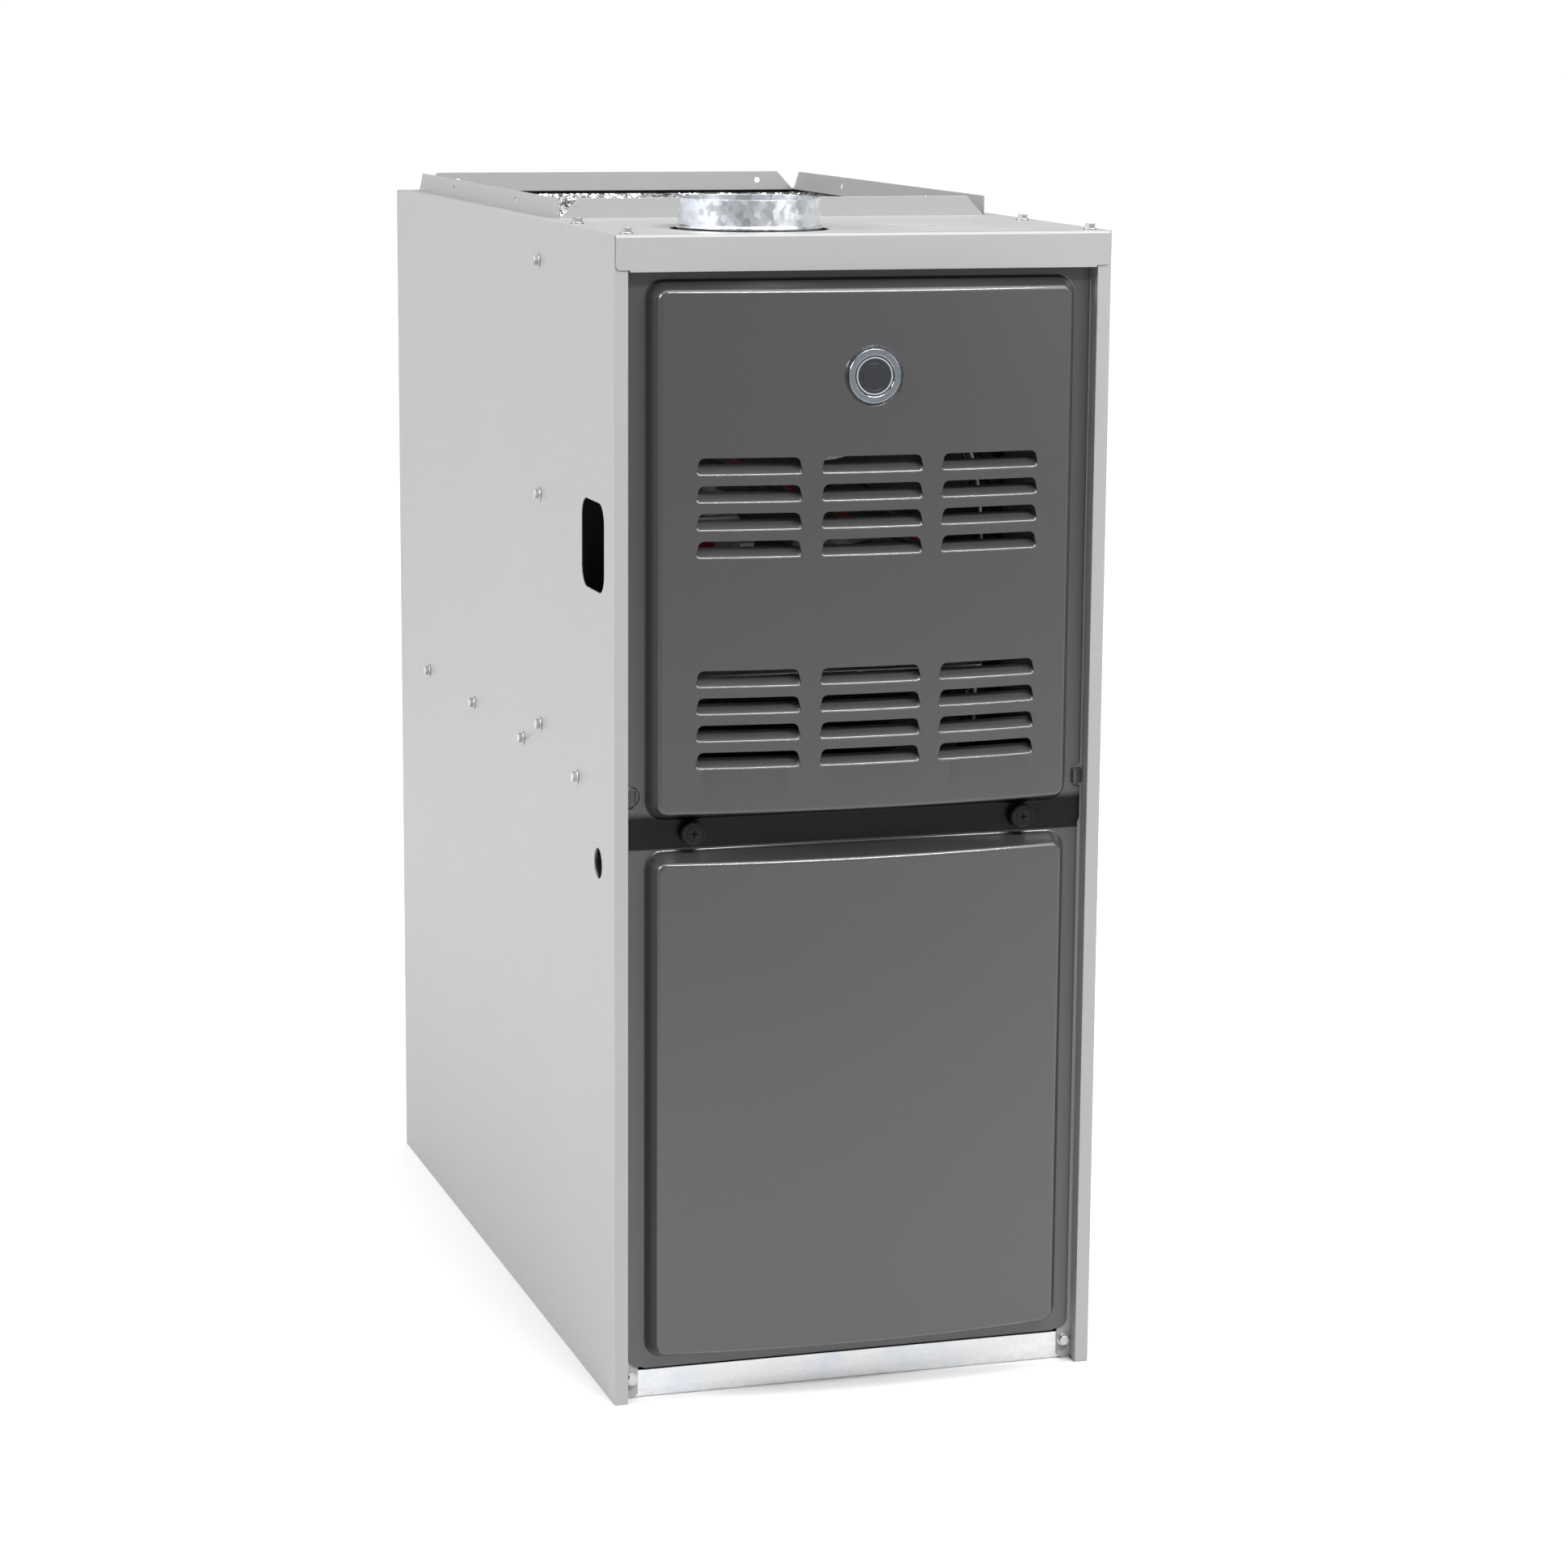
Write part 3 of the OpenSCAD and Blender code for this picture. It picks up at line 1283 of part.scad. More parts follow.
module badge_floor() {
    r = badge_recess_d / 2;
    y = -crown(0) + badge_recess_h;
    difference() {
        rod_y([0, y - badge_recess_h + 0.2, badge_z], r + door_sheet, badge_recess_h + door_sheet - 0.2);
        badge_cup();
    }
}

module badge_disc() {
    r = badge_d / 2 - badge_ring_w;
    y = upper_back - crown(0) + badge_recess_h - 0.2;
    color("slategray") from_front() difference() {
        rod_y([0, y - badge_t, badge_z], r, badge_t);
        difference() {
            rod_y([0, y - badge_t - 1, badge_z], r * 0.72, 1.4);
            rod_y([0, y - badge_t - 1, badge_z], r * 0.62, 2);
        }
    }
}

module badge_ring() {
    r = badge_d / 2;
    y = upper_back - crown(0) + badge_recess_h - 0.2;
    w = badge_ring_w - 0.1;
    e = badge_edge_r;
    color("silver") from_front() translate([0, y, badge_z]) rotate([90, 0, 0]) rotate_extrude($fn = 96)
        polygon(concat([[r - w, 0], [r, 0]], arc(r - e, badge_t, e, 0, 90, 4),
            arc(r - w + e, badge_t, e, 90, 180, 4)));
}

module lower_door_panel() {
    x = door_half_w - 1;
    top = split_z + split_lap;
    t = door_sheet;
    r = door_corner_r;
    low = 24;
    tongue_x = inner_edge_x - 3.5;
    tongue_back = inner_flange_back + 4.2 - lower_back;
    color("dimgray") from_front(lower_back) {
        difference() {
            union() {
                upright(concat([[x, top], [-x, top]], arc(-x + r, low + r, r, 180, 270, 6),
                    arc(x - r, low + r, r, -90, 0, 6)), t);
                raised(lower_raised, 0, 0.1, 6);
            }
            raised(lower_raised, t, t + 1, 3);
        }
        bar([-tongue_x, 0, low - 1], [tongue_x, t, low + 2]);
        bar([-tongue_x, 0, low - 1], [tongue_x, tongue_back + t, low - 1 + t]);
        bar([-tongue_x, tongue_back, tongue_z], [tongue_x, tongue_back + t, low - 1 + t]);
    }
}

tongue_z = 12;

/* ---- thumb screws ---- */

module thumb_screw_shank(side) {
    color("silver") from_front()
        rod_y([side * thumb_x, upper_back - 2, thumb_z], thumb_shank_r, thumb_reach + 2);
}

// A knurled knob with a cross recess.
module thumb_screw_knob(side) {
    r = knob_d / 2;
    flat = [for (i = [0:2 * knob_knurls - 1]) let(a = 180 * i / knob_knurls, q = i % 2 ? r : r - 0.4)
        [q * cos(a), q * sin(a)]];
    color([0.13, 0.13, 0.13]) from_front() translate([side * thumb_x, upper_back - 0.3, thumb_z])
        rotate([90, 0, 0]) difference() {
            union() {
                translate([0, 0, 1.2]) linear_extrude(knob_h - 1.8) polygon(flat);
                cylinder(r = r - 1.4, h = 2);
                cylinder(r = r - 1, h = knob_h);
            }
            translate([0, 0, knob_h - 0.6]) difference() {
                cylinder(r = r - 2, h = 1);
                translate([0, 0, -0.1]) cylinder(r = r - 4.2, h = 1.2);
            }
            translate([0, 0, -1]) cylinder(r = thumb_shank_r, h = 2.7);
            for (a = [0, 90]) rotate([0, 0, a]) translate([-2.6, -0.5, knob_h - 2]) cube([5.2, 1, 3]);
        }
}

module thumb_screw_shank_left() {
    thumb_screw_shank(-1);
}

module thumb_screw_shank_right() {
    thumb_screw_shank(1);
}

module thumb_screw_knob_left() {
    thumb_screw_knob(-1);
}

module thumb_screw_knob_right() {
    thumb_screw_knob(1);
}

left_side_panel();
right_side_panel();
back_panel();
top_panel();
base_pan();
front_base_rail();
blower_deck();
door_clips();
vestibule_panel();
foil_insulation();
heat_exchanger_tubes();
collector_box();
burner_bracket();
burners();
gas_manifold();
gas_orifices();
gas_valve();
gas_valve_knob();
hot_surface_igniter();
flame_sensor();
rollout_switches();
rollout_button_left();
rollout_button_right();
inducer_housing();
inducer_motor();
inducer_shaft();
inducer_wheel();
flue_collar();
pressure_switch();
pressure_hose();
high_limit_switch();
blower_housing();
blower_motor_mount();
blower_motor();
blower_shaft();
blower_wheel();
control_bracket();
control_board();
transformer();
run_capacitor();
capacitor_strap();
door_switch();
door_switch_plunger();
junction_box();
side_screws();
top_screws();
rail_screws();
back_screws();
upper_door_panel();
badge_disc();
badge_ring();
lower_door_panel();
thumb_screw_shank_left();
thumb_screw_knob_left();
thumb_screw_shank_right();
thumb_screw_knob_right();
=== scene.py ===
import json
import math

import bpy
from mathutils import Matrix, Vector


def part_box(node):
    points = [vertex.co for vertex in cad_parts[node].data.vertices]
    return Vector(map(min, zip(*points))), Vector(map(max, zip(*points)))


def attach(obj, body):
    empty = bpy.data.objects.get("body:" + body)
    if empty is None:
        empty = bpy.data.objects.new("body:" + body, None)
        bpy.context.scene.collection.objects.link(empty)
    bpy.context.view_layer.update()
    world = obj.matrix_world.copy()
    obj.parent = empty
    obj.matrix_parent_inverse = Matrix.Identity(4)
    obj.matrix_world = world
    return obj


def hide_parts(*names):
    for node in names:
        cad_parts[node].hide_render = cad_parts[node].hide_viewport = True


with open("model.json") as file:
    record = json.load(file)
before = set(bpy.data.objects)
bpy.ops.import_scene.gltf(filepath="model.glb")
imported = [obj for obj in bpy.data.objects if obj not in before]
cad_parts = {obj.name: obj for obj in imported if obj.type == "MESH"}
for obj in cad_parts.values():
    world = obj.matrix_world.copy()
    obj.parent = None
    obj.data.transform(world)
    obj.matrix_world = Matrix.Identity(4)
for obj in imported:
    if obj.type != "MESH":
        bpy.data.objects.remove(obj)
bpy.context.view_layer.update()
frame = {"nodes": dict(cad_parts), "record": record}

MM = 0.001
FRONT = -0.365  # the plane of the casing's front flanges
# Door paint darkens this band as painted shade.
STRIP_HEIGHT = 22 * MM  # of the plain strip at the foot of the upper door

CAMERA_PLACE = (-0.908, -3.105, 0.997)
CAMERA_TURN = (17.223, 10.707, 0.414)  # to the right, down, and roll, in degrees
SENSOR_WIDTH = 36
LENS = 93.6

NODE_SLOT = {s["node"]: s["material_slot"] for s in frame["record"]["subparts"]}
BODY_OF = {n: b for b, names in frame["record"]["behaviour"]["bodies"].items() for n in names}


def at(x, back, z):
    """A point from millimetres: across, behind the front flanges, and up."""
    return Vector((x * MM, FRONT + back * MM, z * MM))


# ---------------------------------------------------------------- camera

def aim_camera():
    """The photograph's viewpoint: level with the top of the cabinet and to its left."""
    yaw, pitch, roll = (math.radians(a) for a in CAMERA_TURN)
    ahead = Vector((math.sin(yaw) * math.cos(pitch), math.cos(yaw) * math.cos(pitch),
                    -math.sin(pitch)))
    level = Vector((math.cos(yaw), -math.sin(yaw), 0))
    over = level.cross(ahead)
    right = math.cos(roll) * level + math.sin(roll) * over
    up = math.cos(roll) * over - math.sin(roll) * level
    data = bpy.data.cameras.new("camera")
    data.sensor_width = SENSOR_WIDTH
    data.lens = LENS
    data.clip_end = 100
    camera = bpy.data.objects.new("camera", data)
    bpy.context.scene.collection.objects.link(camera)
    turn = Matrix((right, up, -ahead)).transposed().to_4x4()
    camera.matrix_world = Matrix.Translation(CAMERA_PLACE) @ turn
    bpy.context.scene.camera = camera


# ---------------------------------------------------------------- materials

class Wire:
    """A node's socket. Sums and products of wires and numbers add Math nodes."""

    def __init__(self, finish, socket):
        self.finish, self.socket = finish, socket

    def maths(self, operation, a, b=0.0):
        return self.finish.node("Math", {"operation": operation}, {0: a, 1: b})

    def through(self, operation):
        """This wire's root, sine or other function of one number."""
        return self.maths(operation, self)

    def __add__(self, other):
        return self.maths("ADD", self, other)

    def __sub__(self, other):
        return self.maths("SUBTRACT", self, other)

    def __rsub__(self, other):
        return self.maths("SUBTRACT", other, self)

    def __mul__(self, other):
        return self.maths("MULTIPLY", self, other)

    __radd__, __rmul__ = __add__, __mul__


class Nodes:
    """A node tree that is filled by one method."""

    def __init__(self, owner):
        owner.use_nodes = True
        self.tree = owner.node_tree
        self.tree.nodes.clear()

    def feed(self, socket, value):
        if isinstance(value, Wire):
            self.tree.links.new(value.socket, socket)
        elif isinstance(value, (tuple, list)) and len(value) == 3 and socket.type == "RGBA":
            socket.default_value = (*value, 1.0)
        else:
            socket.default_value = value

    def node(self, kind, settings=None, sockets=None, out=0):
        """Adds a node, sets it up, then fills its sockets; gives one of its outputs."""
        made = self.tree.nodes.new("ShaderNode" + kind)
        for key, value in (settings or {}).items():
            setattr(made, key, value)
        for key, value in (sockets or {}).items():
            self.feed(made.inputs[key], value)
        return Wire(self, made.outputs[out]) if len(made.outputs) else None

    def ramp(self, fac, low, high, a=0.0, b=1.0):
        """Maps low..high to a..b, and holds the ends."""
        return self.node("MapRange", {"clamp": True}, {0: fac, 1: low, 2: high, 3: a, 4: b})


class Finish(Nodes):
    """A material: one Principled shader and the nodes that feed it."""

    def __init__(self, name, colour, roughness, metallic=0.0, **shine):
        self.material = bpy.data.materials.new(name)
        super().__init__(self.material)
        out = self.tree.nodes.new("ShaderNodeOutputMaterial")
        self.shader = self.tree.nodes.new("ShaderNodeBsdfPrincipled")
        self.tree.links.new(self.shader.outputs[0], out.inputs[0])
        self.set("Base Color", colour)
        self.set("Roughness", roughness)
        self.set("Metallic", metallic)
        for socket, value in shine.items():
            self.set(socket.replace("_", " "), value)
        self.place = self.node("TexCoord", out="Object")

    def set(self, socket, value):
        self.feed(self.shader.inputs[socket], value)

    def noise(self, scale, detail=2.0, rough=0.5, place=None):
        return self.node("TexNoise", None, {"Vector": place or self.place, "Scale": scale,
                                            "Detail": detail, "Roughness": rough}, "Fac")

    def cells(self, scale, out="Distance", **settings):
        return self.node("TexVoronoi", settings, {"Vector": self.place, "Scale": scale}, out)

    def stretched(self, stretch):
        return self.node("Mapping", None, {"Vector": self.place, "Scale": stretch})

    def blend(self, fac, a, b, way="MIX"):
        return self.node("Mix", {"data_type": "RGBA", "blend_type": way},
                         {0: fac, 6: a, 7: b}, 2)

    def shaded(self, colour, light):
        """A colour times a varying brightness."""
        lights = self.node("CombineColor", None, {0: light, 1: light, 2: light})
        return self.blend(1.0, colour, lights, "MULTIPLY")

    def bump(self, *layers):
        """Each layer is a height, its depth in metres and its strength."""
        normal = None
        for height, depth, strength in layers:
            sockets = {"Height": height, "Distance": depth, "Strength": strength}
            if normal:
                sockets["Normal"] = normal
            normal = self.node("Bump", None, sockets, "Normal")
        self.set("Normal", normal)


def grey(level):
    return (level, level, level)


def enamel(name, colour, rough, peel, speckle=0.0, buckle=0.0, mottle=0.05, painted_shade_band=None, **shine):
    """Baked enamel on sheet: orange peel, faint mottling and the sheet's own slight buckles.

    A band between two heights, low between the raised parts, carries painted shade: it is
    darker and duller, and a dark metallic share takes away its gloss, in place of the shade
    that the upper door's raised part casts there.
    """
    finish = Finish(name, colour, rough, **shine)
    fine = finish.noise(850, 3.0, 0.6)
    broad = finish.noise(7, 3.0, 0.55)
    grain = finish.noise(2600, 1.0)
    tone = finish.shaded(colour, finish.ramp(broad, 0.3, 0.7, 1.0 - mottle, 1.0 + mottle))
    if speckle:
        dots = finish.ramp(grain, 0.52, 0.72, 0.0, speckle)
        tone = finish.blend(dots, tone, tuple(min(1.0, c * 1.9) for c in colour))
    # Painted shade: the band at the upper door's foot is darkened, made metallic and loses most of
    # its coat.
    if painted_shade_band:
        foot, top = painted_shade_band
        z = finish.node("SeparateXYZ", None, {0: finish.place}, "Z")
        low = finish.ramp(z, foot - MM, foot) * finish.ramp(z, top, top + 5 * MM, 1.0, 0.0)
        tone = finish.blend(low, tone, tuple(c * 0.45 for c in colour))
        finish.set("Metallic", low * 0.9)
        finish.set("Coat Weight", finish.ramp(low, 0.0, 1.0, shine["Coat_Weight"], 0.1))
    finish.set("Base Color", tone)
    finish.set("Roughness", finish.ramp(fine, 0.3, 0.7, rough - 0.04, rough + 0.05))
    layers = [(fine, 0.00012 * peel, 0.6), (grain, 0.00004 * peel, 0.5)]
    if buckle:
        layers.insert(0, (finish.noise(3.2, 1.0, 0.4), 0.004 * buckle, 1.0))
    finish.bump(*layers)
    return finish.material


def zinc_sheet(name, colour, rough, spangle=230.0, contrast=0.12, streak=0.0):
    """Zinc-coated sheet: fine crystals of slightly different brightness, and rolling streaks."""
    finish = Finish(name, colour, rough, 1.0)
    crystals = finish.cells(spangle, out="Color")
    value = finish.node("SeparateColor", None, {0: crystals}, "Red")
    broad = finish.noise(20, 4.0, 0.6)
    lines = finish.noise(140, 3.0, 0.65, finish.stretched((0.05, 1, 1)))
    light = finish.ramp(value * 0.4 + broad * 0.35 + lines * (0.25 + streak), 0.25, 0.8,
                        1.0 - contrast, 1.0 + contrast * 0.5)
    tone = finish.shaded(colour, light)
    blue = tuple(c * k for c, k in zip(colour, (0.78, 0.87, 1.0)))
    finish.set("Base Color", finish.blend(finish.ramp(broad, 0.5, 0.72, 0.0, 0.55), tone, blue))
    finish.set("Roughness", finish.ramp(value * 0.5 + broad * 0.5, 0.2, 0.8,
                                        rough - 0.08, rough + 0.12))
    finish.bump((value, 0.00003, 0.3), (finish.noise(700, 2.0), 0.00002, 0.4))
    return finish.material


def crinkled_foil(name, colour):
    """Bright foil with sharp folds and finer creases between them."""
    finish = Finish(name, colour, 0.2, 1.0)
    folds = finish.cells(120, feature="F1")
    small = finish.cells(340, feature="F1")
    light = finish.ramp(finish.noise(30, 3.0), 0.3, 0.7, 0.8, 1.0)
    finish.set("Base Color", finish.shaded(colour, light))
    finish.set("Roughness", finish.ramp(finish.noise(40, 2.0), 0.3, 0.7, 0.1, 0.28))
    finish.bump((folds, 0.003, 0.8), (small, 0.001, 0.7))
    return finish.material


def plain_metal(name, colour, rough, mottle=0.12):
    """Bare metal, a little cloudy, with a fine grain."""
    finish = Finish(name, colour, rough, 1.0)
    broad = finish.noise(35, 4.0, 0.6)
    fine = finish.noise(420, 3.0, 0.6)
    light = finish.ramp(broad, 0.25, 0.75, 1.0 - mottle, 1.0 + mottle * 0.6)
    finish.set("Base Color", finish.shaded(colour, light))
    finish.set("Roughness", finish.ramp(fine, 0.25, 0.75, rough - 0.07, rough + 0.1))
    finish.bump((fine, 0.00003, 0.5))
    return finish.material


def cast(name, colour, rough, metallic, depth=0.0003):
    """Cast or thickly painted metal, darker in its pores."""
    finish = Finish(name, colour, rough, metallic)
    pores = finish.noise(520, 4.0, 0.65)
    darker = tuple(c * 0.7 for c in colour)
    finish.set("Base Color", finish.blend(finish.ramp(pores, 0.35, 0.6, 0.0, 0.5), darker, colour))
    finish.set("Roughness", finish.ramp(pores, 0.3, 0.7, rough - 0.05, min(1.0, rough + 0.12)))
    finish.bump((pores, depth, 0.6))
    return finish.material


def moulded(name, colour, rough, **shine):
    """Plastic, rubber or ceramic from a mould, with a fine texture."""
    finish = Finish(name, colour, rough, **shine)
    fine = finish.noise(1100, 2.0, 0.6)
    broad = finish.noise(50, 2.0)
    paler = tuple(min(1.0, c * 1.35 + 0.004) for c in colour)
    finish.set("Base Color", finish.blend(finish.ramp(broad, 0.3, 0.7, 0.0, 0.35), colour, paler))
    finish.set("Roughness", finish.ramp(fine, 0.3, 0.7, rough - 0.05, rough + 0.07))
    finish.bump((fine, 0.00003, 0.5))
    return finish.material


def spun_disc(name, colour, corners):
    """Metal turned on a lathe: fine rings round the disc's middle, and a brighter rim line."""
    finish = Finish(name, colour, 0.28, 0.5)
    middle = (corners[0] + corners[1]) / 2
    x = finish.node("SeparateXYZ", None, {0: finish.place}, "X") - middle.x
    z = finish.node("SeparateXYZ", None, {0: finish.place}, "Z") - middle.z
    radius = (x * x + z * z).through("SQRT")
    rings = (radius * 7000).through("SINE")
    rim = finish.ramp(radius, 0.0122, 0.0126) - finish.ramp(radius, 0.0132, 0.0136)
    finish.set("Base Color", finish.blend(rim, colour, (0.45, 0.47, 0.5)))
    finish.bump((rings, 0.00003, 0.5))
    return finish.material


def board_lacquer(name):
    """Green lacquer over a grid of raised tracks."""
    finish = Finish(name, (0.02, 0.11, 0.045), 0.35)
    grid = finish.cells(260, feature="F1", distance="CHEBYCHEV")
    tracks = finish.ramp(grid, 0.30, 0.34)
    finish.set("Base Color", finish.blend(tracks, (0.018, 0.10, 0.04), (0.03, 0.17, 0.07)))
    finish.bump((tracks, 0.00004, 0.5))
    return finish.material


DOOR_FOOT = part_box("upper_door_panel")[0].z

MATERIALS = {
    "casing_paint": enamel("casing_paint", (0.29, 0.29, 0.291), 0.42, 0.4, buckle=0.1,
                           mottle=0.01),
    # The door paint carries painted shade on the band at the foot of the upper door.
    "door_paint": enamel("door_paint", (0.0295, 0.029, 0.0305), 0.36, 0.6, speckle=0.3,
                         buckle=0.02, mottle=0.02, painted_shade_band=(DOOR_FOOT, DOOR_FOOT + STRIP_HEIGHT),
                         IOR=1.65, Coat_Weight=0.6, Coat_Roughness=0.09),
    "galvanised": zinc_sheet("galvanised", (0.76, 0.78, 0.81), 0.36, contrast=0.2),
    # Painted shade: a dark zinc that stands for the shade inside the burner room, worn by the
    # vestibule panel and blower deck.
    "heat_dulled_zinc": zinc_sheet("heat_dulled_zinc", (0.13, 0.135, 0.145), 0.45, contrast=0.25),
    "rail_zinc": zinc_sheet("rail_zinc", (0.78, 0.785, 0.795), 0.42, spangle=420.0,
                            contrast=0.14, streak=0.2),
    "aluminised": plain_metal("aluminised", (0.55, 0.55, 0.55), 0.45, mottle=0.18),
    "foil": crinkled_foil("foil", (0.90, 0.90, 0.91)),
    "screw_zinc": plain_metal("screw_zinc", (0.52, 0.52, 0.53), 0.33, mottle=0.25),
    "cast_alloy": cast("cast_alloy", (0.50, 0.51, 0.52), 0.5, 0.9),
    "black_iron": cast("black_iron", (0.035, 0.035, 0.037), 0.6, 0.3),
    "brass": plain_metal("brass", (0.66, 0.46, 0.18), 0.3),
    "motor_paint": cast("motor_paint", (0.03, 0.032, 0.035), 0.45, 0.0, 0.0001),
    "black_plastic": moulded("black_plastic", (0.008, 0.008, 0.009), 0.4),
    "knob_plastic": moulded("knob_plastic", (0.005, 0.005, 0.0055), 0.45, IOR=1.33),
    "grey_plastic": moulded("grey_plastic", (0.10, 0.105, 0.11), 0.5),
    "red_plastic": moulded("red_plastic", (0.40, 0.018, 0.016), 0.35),
    "circuit_board": board_lacquer("circuit_board"),
    "ceramic_white": moulded("ceramic_white", (0.68, 0.66, 0.61), 0.6),
    "hose_rubber": moulded("hose_rubber", (0.015, 0.015, 0.016), 0.6),
    "badge_face": spun_disc("badge_face", (0.035, 0.037, 0.042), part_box("badge_disc")),
    "chrome": plain_metal("chrome", (0.40, 0.44, 0.49), 0.16, mottle=0.05),
}


# ---------------------------------------------------------------- modelling helpers

def deselect():
    if bpy.context.object and bpy.context.object.mode != "OBJECT":
        bpy.ops.object.mode_set(mode="OBJECT")
    bpy.ops.object.select_all(action="DESELECT")


def pick(piece):
    """Selects this object and nothing else, and makes it active."""
    deselect()
    piece.select_set(True)
    bpy.context.view_layer.objects.active = piece


def apply_modifier(piece, kind, **settings):
    pick(piece)
    bpy.ops.object.modifier_add(type=kind)
    modifier = piece.modifiers[-1]
    for key, value in settings.items():
        setattr(modifier, key, value)
    bpy.ops.object.modifier_apply(modifier=modifier.name)


def smooth(piece, angle=40):
    """Smooth shading that keeps real edges crisp and flats flat."""
    pick(piece)
    bpy.ops.object.shade_smooth_by_angle(angle=math.radians(angle))
    apply_modifier(piece, "WEIGHTED_NORMAL", mode="FACE_AREA_WITH_ANGLE", keep_sharp=True,
                   weight=80)


def bevel(piece, ease):
    """Eases every edge that turns by more than 32 degrees, by so many millimetres."""
    apply_modifier(piece, "BEVEL", width=ease * MM, segments=2, limit_method="ANGLE",
                   angle_limit=math.radians(32), use_clamp_overlap=False)


def finish_piece(piece, slot, body, *nodes, finish=None):
    """Gives a piece the material of its slot or finish, and its body, and hides the nodes that it
    stands for.
    """
    piece.data.materials.clear()
    piece.data.materials.append(MATERIALS[finish or slot])
    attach(piece, body)
    if nodes:
        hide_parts(*nodes)
    return piece


def named(name):
    """Names the piece that an operator has just added, and its mesh."""
    piece = bpy.context.object
    piece.name = piece.data.name = name
    return piece


def settle(piece):
    """Puts a piece's place into its mesh."""
    pick(piece)
    bpy.ops.object.transform_apply(location=True, rotation=True, scale=True)
    return piece


def turned(name, profile, place, sides):
    """An upright shape turned on a lathe: the profile is radius and height, in millimetres."""
    deselect()
    radius, height = profile[0]
    bpy.ops.mesh.primitive_circle_add(vertices=sides, radius=radius * MM,
                                      location=(0, 0, height * MM), fill_type="NOTHING")
    piece = settle(named(name))
    bpy.ops.object.mode_set(mode="EDIT")
    bpy.ops.mesh.select_all(action="SELECT")
    for r, h in profile[1:]:
        bpy.ops.mesh.extrude_region_move(
            TRANSFORM_OT_translate={"value": (0, 0, (h - height) * MM)})
        if r != radius:
            k = r / radius
            bpy.ops.transform.resize(value=(k, k, 1), center_override=(0, 0, h * MM))
        radius, height = r, h
    bpy.ops.mesh.select_all(action="SELECT")
    bpy.ops.mesh.remove_doubles(threshold=0.00003)
    bpy.ops.mesh.normals_make_consistent(inside=False)
    bpy.ops.object.mode_set(mode="OBJECT")
    piece.location = place
    return settle(piece)


def lead(name, points):
    """A round lead along a route given in millimetres."""
    data = bpy.data.curves.new(name, "CURVE")
    data.dimensions = "3D"
    data.bevel_depth = LEAD_RADIUS * MM
    data.bevel_resolution = 1
    data.resolution_u = 6
    data.use_fill_caps = True
    spline = data.splines.new("NURBS")
    spline.points.add(len(points) - 1)
    for knot, p in zip(spline.points, points):
        knot.co = (*at(*p), 1)
    spline.order_u = 4
    spline.use_endpoint_u = True
    piece = bpy.data.objects.new(name, data)
    bpy.context.scene.collection.objects.link(piece)
    pick(piece)
    bpy.ops.object.convert(target="MESH")
    piece.data.name = name
    bpy.ops.object.shade_smooth()
    return piece


def skin_of(node, suffix="_skin"):
    """A merged copy of a CAD node, free to be eased or reshaped."""
    piece = bpy.data.objects.new(node + suffix, frame["nodes"][node].data.copy())
    bpy.context.scene.collection.objects.link(piece)
    pick(piece)
    bpy.ops.object.mode_set(mode="EDIT")
    bpy.ops.mesh.select_all(action="SELECT")
    bpy.ops.mesh.remove_doubles(threshold=0.00001)
    bpy.ops.mesh.dissolve_limited(angle_limit=math.radians(0.3))
    bpy.ops.object.mode_set(mode="OBJECT")
    return piece


def dress(node, ease, finish):
    """An eased and smoothed copy stands for a CAD node."""
    piece = skin_of(node)
    if ease:
        bevel(piece, ease)
    smooth(piece, 50 if ease else 40)
    return finish_piece(piece, NODE_SLOT[node], BODY_OF[node], node, finish=finish)


# ---------------------------------------------------------------- the furnace

aim_camera()

# How far a node's edges are eased, in millimetres, where it isn't PLAIN_EASE.
PLAIN_EASE = 0.2
EASE = {"left_side_panel": 0.4, "right_side_panel": 0.4, "back_panel": 0.35, "top_panel": 0.35,
        "upper_door_panel": 0, "lower_door_panel": 0, "blower_wheel": 0, "pressure_hose": 0,
        "control_board": 0.1, "heat_exchanger_tubes": 0}

# Nodes whose finish differs from the rest of their slot; the vestibule panel and blower deck take
# a zinc darkened as painted shade.
FINISH = {"vestibule_panel": "heat_dulled_zinc", "blower_deck": "heat_dulled_zinc",
          "front_base_rail": "rail_zinc", "thumb_screw_knob_left": "knob_plastic",
          "thumb_screw_knob_right": "knob_plastic"}

for node in frame["nodes"]:
    if node != "foil_insulation":
        dress(node, EASE.get(node, PLAIN_EASE), FINISH.get(node))


